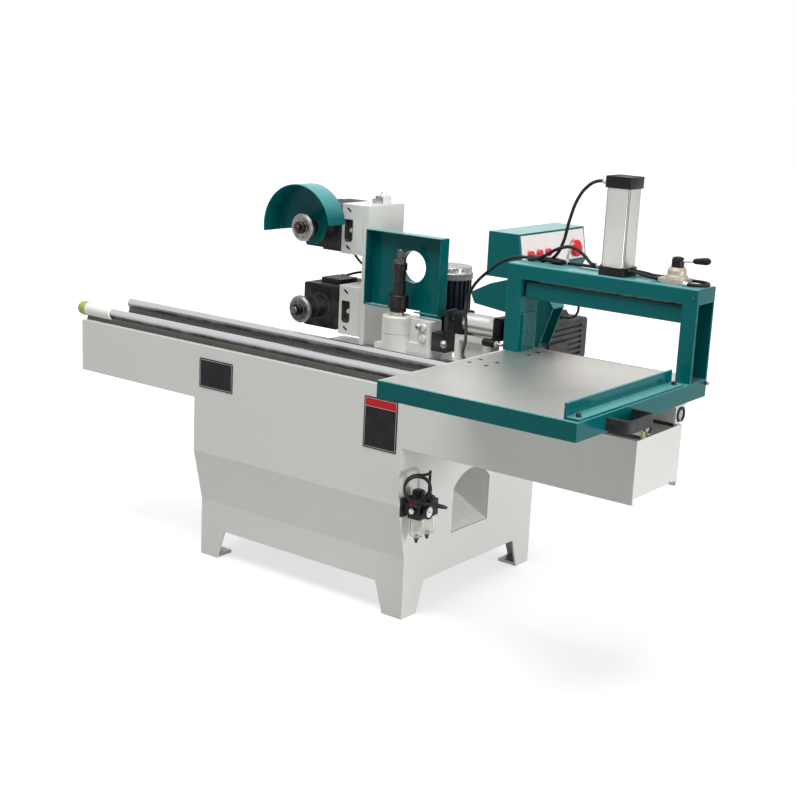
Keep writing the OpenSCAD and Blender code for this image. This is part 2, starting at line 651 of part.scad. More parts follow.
module gantry() color([0.07, 0.36, 0.37]) difference() {
  union() {
    translate([tx0 + post_w, gym, tz1]) rotate(-90) linear_extrude(gantry_h - 3) channel(gantry_d,
      post_w, channel_t);
    translate([tx1 - post_w, gym, tz1]) rotate(90) linear_extrude(gantry_h - 3) channel(gantry_d, post_w,
      channel_t);
    translate([0, gym, gz1]) along_x(tx0, table_w) channel(gantry_d, channel_h, channel_t);
    for (x = [tx0, tx1 - channel_t]) bx([x, gy0 + 1, gz0], [x + channel_t, ty1 - 1, gz1 - 2]);
  }
  rz([cyl_x, gym, gz1 - 10], rod_d + 10, 20);
}

module post_plate() color([0.09, 0.42, 0.42]) to_x([tx0 + post_w, gym, tz1 + 52.5]) {
  linear_extrude(5) rounded(105, 64, 4);
  translate([0, 0, 5]) turned([[5.5, 0], [5.5, 2.5], [4, 4]]);
}

// The cylinder's tube section: a square with soft corners and a groove in each side
module tube_2d() difference() {
  rounded(62, 62, 12);
  for (a = [0:90:270]) rotate(a) {
    translate([31, 0]) square([6, 5], center = true);
    translate([27, 0]) square([3, 9], center = true);
  }
}
module clamp_cylinder() color([0.8, 0.81, 0.83]) translate([cyl_x, gym, gz1]) difference() {
  h = cyl_z1 - gz1;
  union() {
    for (z = [0, h - 34]) translate([0, 0, z]) linear_extrude(34) rounded(cap_w, cap_w, 10);
    translate([0, 0, 33]) linear_extrude(h - 66) tube_2d();
    for (i = [-1, 1], j = [-1, 1]) translate([27*i, 27*j, h]) turned([[5.5, 0], [5.5, 3], [4.5, 4]]);
    for (z = [18, h - 18]) translate([-cap_w/2, 0, z]) rotate([0, -90, 0]) turned([[7.5, 0], [7.5, 7],
      [6, 8], [6, 12]]);
  }
  rz([0, 0, 26], cyl_bore, h - 52);
  rz([0, 0, -1], rod_d + 2*run, 40);
}

module hand_valve() color([0.78, 0.74, 0.66]) translate([valve_x, gym, gz1]) {
  linear_extrude(14) rounded(60, 60, 2);
  translate([0, 0, 14]) turned([[29, 0], [29, 4], [27, 8], [24, 9], [24, 20], [22, 24], [20, 28]]);
  bx([-42, -20, 2], [-28, 20, 13]);
}

module valve_lever() color([0.06, 0.06, 0.06]) translate([valve_x, gym, gz1 + 42 + gap]) {
  turned([[15, 0], [16, 2], [16, 18], [14, 24], [9, 26]]);
  translate([10, 0, 16]) rotate([0, 84, 0])
    turned([[4, 0], [4, 32], [6, 34], [7.5, 40], [9.5, 66], [8.5, 73], [5, 78]]);
}

// Hoses: two to the left, the supply round the back and down to the table, two to the valve
h_top = gz1 + hose_r + gap;
port_x = cyl_x - cap_w/2 - 12 - gap;
hose_1 = [[port_x, gym, cyl_z1 - 18], [port_x - 12, gym, cyl_z1 - 18], [port_x - 30, gym + 1, cyl_z1 - 20],
  [cyl_x - 112, gym + 10, cyl_z1 - 36], [cyl_x - 146, gym + 20, cyl_z1 - 74],
  [cyl_x - 170, gym + 26, cyl_z1 - 134], [cyl_x - 186, gym + 29, cyl_z1 - 194],
  [cyl_x - 208, gym + 30, gz1 + 22], [cyl_x - 240, gym + 31, h_top], [cyl_x - 252, gym + 31, h_top]];
hose_2 = [[port_x, gym, gz1 + 18], [port_x - 12, gym, gz1 + 18], [port_x - 30, gym + 1, gz1 + 20],
  [cyl_x - 106, gym + 10, gz1 + 36], [cyl_x - 150, gym + 17, gz1 + 53], [cyl_x - 192, gym + 20, gz1 + 45],
  [cyl_x - 236, gym + 20, gz1 + 20], [cyl_x - 275, gym + 20, h_top], [cyl_x - 287, gym + 20, h_top]];
side_in = [valve_x + 30 + gap, gym - 22, h_top];
side_1 = [valve_x + 79.5, gym - 22, h_top];
side_2 = [valve_x + 79.5, gym + 49, h_top];
side_3 = [valve_x + 20, gym + 49, h_top];
table_in = [tx0 - gap, gym - 160, tz0 + table_t/2];
hose_3 = concat([side_in], turn(side_in, side_1, side_2, 35, 6), turn(side_1, side_2, side_3, 35, 6),
  smooth([side_3, [cyl_x + 60, gym + 49, h_top], [cyl_x - 100, gym + 48, h_top],
    [cyl_x - 200, gym + 46, h_top], [tx0 + 40, gym + 40, h_top + 2], [tx0 - 40, gym + 29, gz1 - 1],
    [tx0 - 110, gym + 18, gz1 - 48], [tx0 - 152, gym + 4, gz1 - 104], [tx0 - 158, gym - 8, gz1 - 150],
    [tx0 - 142, gym - 26, gz1 - 192], [tx0 - 116, gym - 62, gz1 - 230], [tx0 - 92, gym - 108, gz1 - 254],
    [tx0 - 60, gym - 146, gz1 - 263], [tx0 - 40, gym - 155.5, table_in.z + 0.5], table_in - [18, 0, 0]], 3),
  [table_in]);
// A short hose between the cylinder's cap and the valve's port block
function short(y, z) = let(a = [cyl_x + cap_w/2 + gap, gym + y, gz1 + z], b = [valve_x - 42 - gap,
  gym + 0.9*y, gz1 + 7.5])
  [a, a + [12, 0, 0], (a + b)/2 + [0, y/5, 1], b - [12, 0, 0], b];
module air_hoses() color([0.06, 0.06, 0.06]) {
  tube(led(hose_1, 3), hose_r, 8);
  tube(led(hose_2, 3), hose_r, 8);
  tube(hose_3, hose_r, 8);
  tube(led(short(-12, 15), 3), hose_r, 8);
  tube(led(short(12, 15), 3), hose_r, 8);
}

module press_beam() color([0.07, 0.36, 0.37]) {
  x0 = tx0 + post_w + 10;
  x1 = tx1 - post_w - 5;
  difference() {
    translate([0, gym, press_z1 - press_h/2]) along_x(x0, x1 - x0) difference() {
      rounded(70, press_h, 8);
      rounded(60, press_h - 10, 3);
    }
    rz([cyl_x, gym, press_z1 - 6], rod_d - 6, 10);
  }
}

module piston_rod() color([0.85, 0.86, 0.88]) translate([cyl_x, gym, press_z1]) {
  l = cyl_z1 - 56 - press_z1;
  turned([[rod_d/2 - 3, -5], [rod_d/2 - 3, 0], [rod_d/2, 0], [rod_d/2, l], [cyl_bore/2 - run, l],
    [cyl_bore/2 - run, l + 22]]);
}

// A head bracket: it wraps the column's front web and slides on the dovetail
module bracket(z) color([0.88, 0.88, 0.85]) at_line() {
  x1 = col_x - col_wall - gap;
  x2 = col_x - col_t - gap;
  t = dove(dove_w, dove_h, gap);
  difference() {
    translate([0, 0, z - 80]) linear_extrude(158) difference() {
      polygon([[brk_x, col_y[0] + 6], [brk_x + 6, col_y[0]], [x1 - 4, col_y[0]], [x1, col_y[0] + 4],
        [x1, col_in - gap],
        [x2, col_in - gap], [x2, 272], [brk_x, 272]]);
      translate([col_x - col_t, dove_y]) polygon(concat([for (p = [t[0], t[2]]) [-p.x, p.y]],
        [for (p = [t[2], t[0]]) [-p.x, -p.y]]));
    }
    along_y(col_y[0] - 1, 27) translate([brk_x, z]) polygon([[16, -34], [22, -42], [42, -42], [50, -34],
      [50, 30],
      [16, 30]]);
    for (s = [-60, 60]) translate([brk_x + 33, col_y[0] - 1, z + s]) rotate([-90, 35, 0]) linear_extrude(14)
      rounded(20, 7, 3.4);
  }
  translate([brk_x + 34, col_y[0] + 26, z - 6]) rotate([90, 0, 0]) {
    cylinder(d = 20, h = 8, $fn = 6);
    turned([[6, 7], [6, 15], [5, 16]]);
  }
}
module upper_bracket() bracket(up_z);
module lower_bracket() bracket(low_z);

module head_motor(z, s) color([0.08, 0.08, 0.09]) at_line() difference() {
  union() {
    to_y([head_x, motor_y, z]) {
      linear_extrude(shield) rounded(motor_w, motor_h, 8);
      translate([0, 0, shield - 1]) linear_extrude(motor_l - shield - cover + 2) finned(motor_w, motor_h,
        8, 8, 6);
      translate([0, 0, motor_l - cover]) linear_extrude(cover - 5) rounded(motor_w - 2, motor_h - 2, 12);
      translate([0, 0, motor_l - 6]) linear_extrude(6) rounded(motor_w - 14, motor_h - 14, 10);
      translate([0, 0, -54]) turned([[35, 0], [37, 2], [37, 46], [44, 50], [44, 56]]);
    }
    translate([head_x, motor_y + 92, z + s*(motor_h/2 + 4)]) linear_extrude(20,
      center = true) rounded(84, 90, 6);
  }
  ry([head_x, motor_y - 55, z], arbor_d + 2*run, 100);
}
module upper_motor() head_motor(up_z, -1);
module lower_motor() head_motor(low_z, 1);

module arbor(z) color([0.6, 0.6, 0.6]) at_line() let(f = flange_d/2, a = arbor_d/2) to_y([head_x, 0, z])
  turned([[8, -29], [11, -26], [11, -18], [18, -18], [20, -16], [20, -3], [f - 6, -3], [f - 4, -1],
    [f - 4, 0], [f - 1, 0],
    [f, 1], [f, 9], [f - 1, 10], [a, 10], [a, motor_y + 30]]);
module upper_arbor() arbor(up_z);
module lower_arbor() arbor(low_z);

module upper_guard() color([0.08, 0.4, 0.41]) at_line() difference() {
  r = guard_r + 3;
  ry([head_x, guard_y, up_z], 2*r, guard_d);
  ry([head_x, guard_y - 1, up_z], 2*guard_r, guard_d - 2);
  ry([head_x, guard_y - 1, up_z], 52, guard_d + 2);
  translate([head_x, guard_y - 1, up_z]) rotate([0, -9, 0]) translate([-2*r, 0, -2*r])
    cube([4*r, guard_d + 2, 2*r - 40]);
}

module carriage() color([0.87, 0.87, 0.85]) at_line() {
  t = dove(40, way_h, gap);
  z0 = cab_top + 20 + gap;
  difference() {
    union() {
      bx([vs_x - 80, 22, z0], [car_x1, 150, pod_z + 20]);
      translate([0, 0, pod_z + 10]) linear_extrude(house_top - 14 - pod_z) {
        translate([vs_x + 74, 54.5]) rounded(110, 69, 8);
        translate([vs_x + 20, 50]) square([60, 39]);
      }
      bx([vs_x - 10, 149, pod_z], [car_x1, 285, pod_z + 20]);
    }
    translate([0, way_y, cab_top + 20]) along_x(vs_x - 81, car_x1 - vs_x + 82)
      polygon(concat([for (p = [t[0], t[2]]) [p.y, p.x]], [for (p = [t[2], t[0]]) [-p.y, p.x]]));
    rz([vs_x, vs_y, pod_z], house_d, 300);
    bx([vs_x, 18, pod_z + 40], [vs_x + 90, vs_y + 3, house_top]);
  }
  for (z = [pod_z + 60, house_top - 22]) translate([vs_x + 108, 20, z]) rotate([90, 0, 0])
    turned([[11, -1], [11, 6], [9, 8]]);
}

module spindle_housing() color([0.9, 0.9, 0.88]) at_line() let(r = house_d/2, h = house_top - pod_z)
  translate([vs_x, vs_y, pod_z]) difference() {
    turned([[r - 2, 0], [r, 2], [r, h - 56], [r - 2, h - 55.5], [r - 2, h - 53.5], [r, h - 53],
      [r, h - 3], [r - 3, h]]);
    rz([0, 0, 8], 40 + 2*run, 200);
  }

module chip_hood() color([0.07, 0.36, 0.37]) at_line() difference() {
  union() {
    bx([hood_x, 50, hood_z], [hood_x + hood_w, 92, hood_z + hood_h]);
    ry([dust_x, 92, hood_z + 133], dust_d + 5, 26);
    bx([vs_x + 40, 89, hood_z - 46], [vs_x + 120, 92, hood_z]);
  }
  bx([hood_x + 3, 49, hood_z + 3], [hood_x + hood_w - 3, 89, hood_z + hood_h - 3]);
  bx([hood_x + 3, 62, hood_z - 1], [hood_x + hood_w - 3, 89, hood_z + 4]);
  bx([vs_x - 45, 49, hood_z - 1], [vs_x + 45, 89, hood_z + 4]);
  ry([dust_x, 80, hood_z + 133], dust_d, 60);
}

module spindle_motor() color([0.1, 0.1, 0.11]) at_line() translate([vs_x + 69, 206, pod_z + 20]) {
  turned([[67, 0], [69, 2], [69, 10], [61, 12], [61, 20]]);
  translate([0, 0, 18]) linear_extrude(186) difference() {
    circle(66);
    for (a = [0:15:345]) rotate(a) translate([66, 0]) square([14, 9], center = true);
  }
  translate([0, 0, 203]) turned([[67, 0], [69, 2], [69, 20], [66, 22], [65, 36], [63, 39]]);
  for (a = [0:60:300]) rotate(a) translate([42, 0, 239]) turned([[6, 0], [6, 2], [5, 3]]);
  translate([58, -40, 60]) bx([0, -20, -34], [14, 34, 34]);
}

module shift_rod() color([0.1, 0.1, 0.1]) at_line() translate([car_x1, 0, 0]) {
  along_y(shift_y - 26, 52) polygon([[0, pod_z + 24], [54, pod_z + 24], [58, pod_z + 28],
    [58, shift_z + 30],
    [44, shift_z + 30], [44, pod_z + 84], [40, pod_z + 80], [0, pod_z + 80]]);
  rx([57, shift_y, shift_z], 16, 151);
  rx([195, shift_y, shift_z], 54 - 2*run, 16);
}

module spindle_arbor() color([0.12, 0.12, 0.13]) at_line() let(h = house_top - pod_z, l = vs_tip - pod_z)
  translate([vs_x, vs_y, pod_z]) turned([[20, 10], [20, h + 10], [24, h + 11], [26, h + 13],
    [26, h + 22], [31.5, h + 25],
    [31.5, h + 62], [30, h + 64], [21, h + 65], [20, h + 68], [20, l - 64], [23, l - 62], [23, l - 42],
      [19, l - 40],
    [19, l - 28], [10, l - 27], [10, l - 3], [7, l]]);

module saw_arbor() color([0.55, 0.55, 0.55]) at_line() {
  to_y([saw_x, 0, saw_z]) turned([[33, -4.6], [35, -2.6], [35, 4.4], [34, 5], [35, 5.6], [35, 12.6],
    [33, 14.6], [14, 14.6], [14, 82]]);
  translate([saw_x, -4.6, saw_z]) rotate([90, 0, 0]) {
    cylinder(d = 46, h = 9, $fn = 6);
    turned([[14, 8], [14, 12], [12, 14]]);
  }
}

cabinet();
chip_chute();
foot_plates();
beam();
rails();
rail_seats();
stop_sleeve();
bumper();
name_plate();
notice_plate();
column();
screw_block();
saw_bracket();
saw_motor();
saw_hood();
control_post();
control_box();
control_panel();
slideway();
cylinder_seat();
shift_cylinder();
air_unit();
air_bowls();
air_gauge();
air_coil();
table_frame();
table_plate();
bearing_blocks();
seal_rings();
fence();
fence_bolts();
handle();
gantry();
post_plate();
clamp_cylinder();
hand_valve();
air_hoses();
press_beam();
piston_rod();
valve_lever();
upper_bracket();
upper_motor();
upper_guard();
upper_arbor();
lower_bracket();
lower_motor();
lower_arbor();
carriage();
spindle_housing();
chip_hood();
spindle_motor();
shift_rod();
spindle_arbor();
saw_arbor();
stop_button();
start_button_1();
start_button_2();
start_button_3();
air_knob();
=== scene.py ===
"""Looks of the tenoning machine: finishes, hoses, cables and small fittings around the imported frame."""
import math

import bmesh
import bpy
from mathutils import Matrix, Vector


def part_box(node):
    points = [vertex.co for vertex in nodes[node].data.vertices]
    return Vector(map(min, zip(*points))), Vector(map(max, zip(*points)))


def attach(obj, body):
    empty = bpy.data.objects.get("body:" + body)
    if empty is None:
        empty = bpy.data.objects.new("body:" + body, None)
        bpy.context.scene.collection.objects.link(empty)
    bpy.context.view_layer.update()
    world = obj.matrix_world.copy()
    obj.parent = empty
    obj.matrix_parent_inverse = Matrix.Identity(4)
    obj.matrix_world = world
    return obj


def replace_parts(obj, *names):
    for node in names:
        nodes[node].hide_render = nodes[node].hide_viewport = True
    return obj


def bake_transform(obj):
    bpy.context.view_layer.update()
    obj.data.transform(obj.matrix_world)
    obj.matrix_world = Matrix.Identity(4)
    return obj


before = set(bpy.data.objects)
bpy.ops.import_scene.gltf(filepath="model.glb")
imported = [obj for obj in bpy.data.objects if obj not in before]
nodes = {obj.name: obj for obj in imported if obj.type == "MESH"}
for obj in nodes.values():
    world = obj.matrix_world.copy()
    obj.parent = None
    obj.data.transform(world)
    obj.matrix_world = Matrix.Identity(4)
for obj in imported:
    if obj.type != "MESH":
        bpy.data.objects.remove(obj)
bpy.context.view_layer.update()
MM = 0.001
X, Y, Z = 0, 1, 2
LEFT, RIGHT = (-1, 0, 0), (1, 0, 0)
AHEAD, BACK = (0, -1, 0), (0, 1, 0)
DOWN, UP = (0, 0, -1), (0, 0, 1)


def mm(*p):
    """A point given in millimetres, in metres."""
    return Vector([c * MM for c in p])


# Places that several pieces and finishes share, in millimetres

HEAD_X, UPPER_Z, LOWER_Z = -311, 1026, 763
CLAMP_X, CLAMP_Y = 890, -133
BARREL_FOOT, BARREL_LOW, BARREL_HIGH, BARREL_TOP = 1042, 1065, 1268, 1298
AIR_X, REGULATOR_Y, OILER_Y = 440, -342, -291
GAUGE_X, GAUGE_Z = 480, 343
TABLE_TOP = 800
TABLE_HOLES = ((617, -392), (669, -392), (617, -340), (669, -340), (671, -188), (671, -138))


# Camera, as the photograph was taken

CAMERA_AT = mm(2641.5, -3434.3, 1576.4)
CAMERA_AZIMUTH = math.radians(36.505)
CAMERA_ELEVATION = math.radians(13.586)
CAMERA_ROLL = math.radians(2.776)
CAMERA_LENS = 64.42
SENSOR = 36.0


def make_camera():
    """A camera at the photograph's place, turned by azimuth, elevation and roll."""
    az, el, roll = CAMERA_AZIMUTH, CAMERA_ELEVATION, CAMERA_ROLL
    back = Vector((math.sin(az) * math.cos(el), -math.cos(az) * math.cos(el), math.sin(el)))
    right = Vector((math.cos(az), math.sin(az), 0))
    up = back.cross(right)
    turned = math.cos(roll) * right + math.sin(roll) * up
    raised = -math.sin(roll) * right + math.cos(roll) * up
    data = bpy.data.cameras.new("photo_camera")
    data.sensor_fit = "HORIZONTAL"
    data.sensor_width = SENSOR
    data.lens = CAMERA_LENS
    data.clip_end = 50
    camera = bpy.data.objects.new("photo_camera", data)
    bpy.context.scene.collection.objects.link(camera)
    turn = Matrix((turned, raised, back)).transposed()
    camera.matrix_world = Matrix.Translation(CAMERA_AT) @ turn.to_4x4()
    bpy.context.scene.camera = camera


make_camera()


# Finishes

def srgb(r, g, b):
    """A colour given as 0 to 255 screen values, as linear light."""
    def light(c):
        c = c / 255
        return c / 12.92 if c <= 0.04045 else ((c + 0.055) / 1.055) ** 2.4
    return (light(r), light(g), light(b), 1)


def shade(tone, k):
    """A colour made lighter or darker by a factor."""
    return tuple(min(1, c * k) for c in tone[:3]) + (1,)


class Finish:
    """A material under construction: its node tree, its shader and its place coordinates."""

    def __init__(self, name, rough, metallic=0.0, coat=0.0, gloss=0.5):
        self.material = bpy.data.materials.new(name)
        self.material.use_nodes = True
        self.tree = self.material.node_tree
        self.shader = self.tree.nodes["Principled BSDF"]
        self.shader.inputs["Metallic"].default_value = metallic
        self.shader.inputs["Roughness"].default_value = rough
        self.shader.inputs["Specular IOR Level"].default_value = gloss
        self.shader.inputs["Coat Weight"].default_value = coat
        self.shader.inputs["Coat Roughness"].default_value = 0.12
        self.place = self.node("ShaderNodeTexCoord").outputs["Object"]

    def node(self, kind, **values):
        made = self.tree.nodes.new(kind)
        for key, value in values.items():
            setattr(made, key, value)
        return made

    def join(self, a, b):
        self.tree.links.new(a, b)

    def math(self, operation, a, b=0.0):
        """One sum on sockets or plain numbers."""
        made = self.node("ShaderNodeMath", operation=operation)
        for socket, value in zip(made.inputs, (a, b)):
            if isinstance(value, (int, float)):
                socket.default_value = value
            else:
                self.join(value, socket)
        return made.outputs[0]

    def both(self, a, b):
        """1 where two masks are 1."""
        return self.math("MULTIPLY", a, b)

    def over(self, a, limit):
        return self.math("GREATER_THAN", a, limit)

    def under(self, a, limit):
        return self.math("LESS_THAN", a, limit)

    def along(self, axis):
        """The place along one axis, in metres."""
        split = self.node("ShaderNodeSeparateXYZ")
        self.join(self.place, split.inputs[0])
        return split.outputs[axis]

    def offset(self, axis, centre):
        """The place along one axis from a centre, which is given in millimetres."""
        return self.math("SUBTRACT", self.along(axis), centre * MM)

    def between(self, axis, low, high):
        """1 between two places on an axis, given in millimetres."""
        at = self.along(axis)
        return self.both(self.over(at, low * MM), self.under(at, high * MM))

    def away(self, axes, centre):
        """The distance from a centre line, in metres; centre in millimetres."""
        squares = [self.math("POWER", self.offset(a, c), 2.0) for a, c in zip(axes, centre)]
        return self.math("SQRT", self.math("ADD", *squares))

    def stretched(self, scale):
        """Coordinates drawn out along an axis, for brushed and ground marks."""
        made = self.node("ShaderNodeMapping")
        made.inputs["Scale"].default_value = scale
        self.join(self.place, made.inputs["Vector"])
        return made.outputs["Vector"]

    def noise(self, scale, detail=3.0, at=None):
        made = self.node("ShaderNodeTexNoise")
        made.inputs["Scale"].default_value = scale
        made.inputs["Detail"].default_value = detail
        self.join(at or self.place, made.inputs["Vector"])
        return made.outputs["Fac"]

    def ramp(self, fac, low, high, a, b):
        """Colour a below low, colour b above high."""
        made = self.node("ShaderNodeValToRGB")
        made.color_ramp.elements[0].position = low
        made.color_ramp.elements[1].position = high
        made.color_ramp.elements[0].color = a
        made.color_ramp.elements[1].color = b
        self.join(fac, made.inputs["Fac"])
        return made.outputs["Color"]

    def span(self, fac, low, high, a, b):
        """Number a at low to number b at high."""
        made = self.node("ShaderNodeMapRange")
        for key, value in (("From Min", low), ("From Max", high), ("To Min", a), ("To Max", b)):
            made.inputs[key].default_value = value
        self.join(fac, made.inputs["Value"])
        return made.outputs["Result"]

    def mixed(self, fac, a, b):
        """Colour a where fac is 0, colour b where it is 1."""
        made = self.node("ShaderNodeMix", data_type="RGBA")
        self.join(fac, made.inputs["Factor"])
        for socket, value in ((made.inputs[6], a), (made.inputs[7], b)):
            if isinstance(value, tuple):
                socket.default_value = value
            else:
                self.join(value, socket)
        return made.outputs[2]

    def rounded_normal(self, radius):
        """The surface's direction with its edges rounded, by a radius in millimetres."""
        bevel = self.node("ShaderNodeBevel", samples=4)
        bevel.inputs["Radius"].default_value = radius * MM
        return bevel.outputs["Normal"]

    def edges(self, width, low=0.02, high=0.25):
        """1 along the sharp edges, over a width in millimetres, and 0 on the open faces."""
        dot = self.node("ShaderNodeVectorMath", operation="DOT_PRODUCT")
        self.join(self.rounded_normal(width), dot.inputs[0])
        self.join(self.node("ShaderNodeNewGeometry").outputs["Normal"], dot.inputs[1])
        return self.span(dot.outputs["Value"], 1 - low, 1 - high, 0, 1)

    def facing(self, axis):
        """How far the surface faces along an axis, from -1 to 1."""
        split = self.node("ShaderNodeSeparateXYZ")
        self.join(self.node("ShaderNodeNewGeometry").outputs["True Normal"], split.inputs[0])
        return split.outputs[axis]

    def colour(self, socket):
        self.join(socket, self.shader.inputs["Base Color"])

    def rough(self, socket):
        self.join(socket, self.shader.inputs["Roughness"])

    def metal(self, socket):
        self.join(socket, self.shader.inputs["Metallic"])

    def bump(self, height, strength, distance, rounding=0.0):
        """Surface relief over edges rounded by a radius; distance and radius in millimetres."""
        made = self.node("ShaderNodeBump")
        made.inputs["Strength"].default_value = strength
        made.inputs["Distance"].default_value = distance * MM
        self.join(height, made.inputs["Height"])
        if rounding:
            self.join(self.rounded_normal(rounding), made.inputs["Normal"])
        self.join(made.outputs["Normal"], self.shader.inputs["Normal"])


# The slots in the head brackets, darkened inside as painted shade, and the bolt in each that is left light

SLOT_X, SLOT_Y, SLOT_HALF = (-226, -186), (105.8, 133), 76
SLOT_BOLT_X, SLOT_BOLT_DOWN, SLOT_BOLT_R = -205, 6, 10.4


def enamel(name, tone, wear_and_edge_highlight, rough=0.38, coat=0.2, gloss=0.4, slots=None, painted_facing_shading=None, bare=None):
    """Sprayed machine enamel: faint clouds, orange peel, edges lighter: rubbed wear, and on the teal also a
    painted highlight.

    It may have painted shade in its slots round a height, a paler tone on what faces up as a painted
    highlight,
    and a rim rubbed bare: what faces up left of bare's X or behind its Y.
    """
    f = Finish(name, rough, coat=coat, gloss=gloss)
    clouds = f.ramp(f.noise(1.6, 3), 0.3, 0.7, shade(tone, 0.965), shade(tone, 1.03))
    grime = f.noise(38, 6)
    # Sharp edges take a lighter colour in patches: rubbed wear, and on the teal coat also a painted
    # highlight.
    rubbed_and_highlit_edges = f.both(f.edges(3), f.span(grime, 0.4, 0.62, 0.15, 0.8))
    scuffed = f.mixed(f.span(f.noise(9, 8), 0.66, 0.8, 0, 0.22), clouds, shade(tone, 0.8))
    painted = f.mixed(rubbed_and_highlit_edges, scuffed, wear_and_edge_highlight)
    # What faces up takes a paler tone in patches: painted highlight from the light above.
    if painted_facing_shading:
        painted_top_highlight = f.both(f.span(f.facing(Z), 0.3, 1, 0, 0.55), f.span(f.noise(6, 5), 0.3, 0.7, 0.8, 1))
        painted = f.mixed(painted_top_highlight, painted, painted_facing_shading)
    # Inside each slot the colour is darkened as painted shade in the recess; the bolt is left light.
    if slots:
        deep = f.both(f.between(Y, *SLOT_Y), f.between(X, *SLOT_X))
        painted_slot_shade = f.both(deep, f.between(Z, slots - SLOT_HALF, slots + SLOT_HALF))
        from_bolt = f.away((X, Z), (SLOT_BOLT_X, slots - SLOT_BOLT_DOWN))
        painted_slot_shade = f.both(painted_slot_shade, f.over(from_bolt, SLOT_BOLT_R * MM))
        painted = f.mixed(painted_slot_shade, painted, srgb(84, 84, 82))
    if bare:
        left = f.under(f.along(X), bare[X] * MM)
        behind = f.over(f.along(Y), bare[Y] * MM)
        rim = f.both(f.math("MAXIMUM", left, behind), f.over(f.facing(Z), 0.9))
        painted = f.mixed(rim, painted, srgb(186, 184, 178))
    f.colour(painted)
    f.rough(f.span(grime, 0.3, 0.7, rough - 0.06, rough + 0.08))
    f.bump(f.noise(420, 2), 0.1, 0.6, 1.5)
    return f.material


OIL_R, OIL_FADE_R = 6.2, 7.8


def ground_steel(name, tone, rough=0.3, along=(1.0, 1.0, 1.0), marks=0.12, stain=0.35, holes=()):
    """Ground or drawn metal: fine marks along one axis, soft stains, bright edges, dark oil round holes."""
    f = Finish(name, rough, metallic=1.0)
    lines = f.noise(60, 5, f.stretched(along))
    base = f.ramp(lines, 0.3, 0.7, shade(tone, 0.84), shade(tone, 1.1))
    stained = f.mixed(f.span(f.noise(5, 5), 0.5, 0.72, 0, stain), base, shade(tone, 0.72))
    made = f.mixed(f.edges(2), stained, shade(tone, 1.15))
    for centre in holes:
        oil = f.span(f.away((X, Y), centre), OIL_R * MM, OIL_FADE_R * MM, 1, 0)
        made = f.mixed(oil, made, srgb(40, 39, 37))
    f.colour(made)
    f.rough(f.span(lines, 0.25, 0.75, rough - marks, rough + marks))
    f.bump(lines, 0.05, 0.3, 0.8)
    return f.material


def chrome_bar(name, tone):
    """Hard chrome on a round guide bar, darker and rougher along its lower side: the dark is painted shade.
    """
    f = Finish(name, 0.16, metallic=1.0)
    lines = f.noise(60, 5, f.stretched((1.0, 30.0, 30.0)))
    base = f.ramp(lines, 0.3, 0.7, shade(tone, 0.9), shade(tone, 1.05))
    # What faces down is darkened in patches: painted shade under the bar.
    painted_facing_shading = f.span(f.facing(Z), 0.35, -0.3, 0, 1)
    painted_underside_shade = f.both(painted_facing_shading, f.span(f.noise(14, 5), 0.25, 0.6, 0.75, 1))
    f.colour(f.mixed(painted_underside_shade, base, srgb(52, 50, 47)))
    f.rough(f.span(painted_underside_shade, 0, 1, 0.14, 0.5))
    f.bump(lines, 0.03, 0.3)
    return f.material


def moulded(name, tone, rough, grain=900, depth=0.15, spots=0.1, gloss=0.18):
    """Moulded plastic, rubber or black-painted castings: fine grain and dusty variation."""
    f = Finish(name, rough, gloss=gloss)
    dust = f.noise(24, 6)
    dusty = tuple(c + (0.5 - c) * spots for c in tone[:3]) + (1,)
    rubbed = tuple(c + 0.06 for c in tone[:3]) + (1,)
    base = f.ramp(dust, 0.42, 0.75, tone, dusty)
    f.colour(f.mixed(f.span(f.edges(2), 0, 1, 0, 0.3), base, rubbed))
    f.rough(f.span(dust, 0.3, 0.7, rough - 0.08, rough + 0.1))
    f.bump(f.noise(grain, 3), depth, 0.6, 1.2)
    return f.material


def rough_cast(name, tone, rough, metallic):
    """Die-cast or sand-cast metal: pitted grain with darker hollows."""
    f = Finish(name, rough, metallic=metallic)
    pits = f.noise(260, 6)
    base = f.ramp(pits, 0.34, 0.62, shade(tone, 0.76), tone)
    f.colour(f.mixed(f.edges(2.5), base, shade(tone, 1.25)))
    f.rough(f.span(pits, 0.3, 0.7, rough + 0.1, rough - 0.1))
    f.bump(pits, 0.3, 0.8, 1.5)
    return f.material


CORNER_GROOVE = 27.2


def two_part(name, axis, reach, inner, outer, inner_rough=0.3, tube=None):
    """A bought piece: bare metal between two places on its axis, black at its ends.

    A drawn square tube round the point tube is darkened along its corner grooves as painted shade.
    """
    f = Finish(name, inner_rough, gloss=0.15)
    middle = f.between(axis, *reach)
    along = [40.0, 40.0, 40.0]
    along[axis] = 1.0
    lines = f.noise(60, 5, f.stretched(along))
    drawn = f.ramp(lines, 0.3, 0.7, shade(inner, 0.88), shade(inner, 1.08))
    if tube:
        aside, ahead = (f.math("ABSOLUTE", f.offset(a, tube[a])) for a in (X, Y))
        # Near each corner the colour is darkened: painted shade along the grooves.
        groove = f.over(f.math("MINIMUM", aside, ahead), CORNER_GROOVE * MM)
        drawn = f.mixed(groove, drawn, shade(inner, 0.28))
    dusty = f.ramp(f.noise(24, 6), 0.42, 0.75, outer, shade(outer, 1.7))
    f.colour(f.mixed(middle, dusty, drawn))
    f.metal(middle)
    f.rough(f.span(middle, 0, 1, 0.4, inner_rough))
    f.bump(f.noise(500, 3), 0.12, 0.5, 1.2)
    return f.material


MOTOR_BAND_Z, MOTOR_COVER_Z = 902.5, 922.5


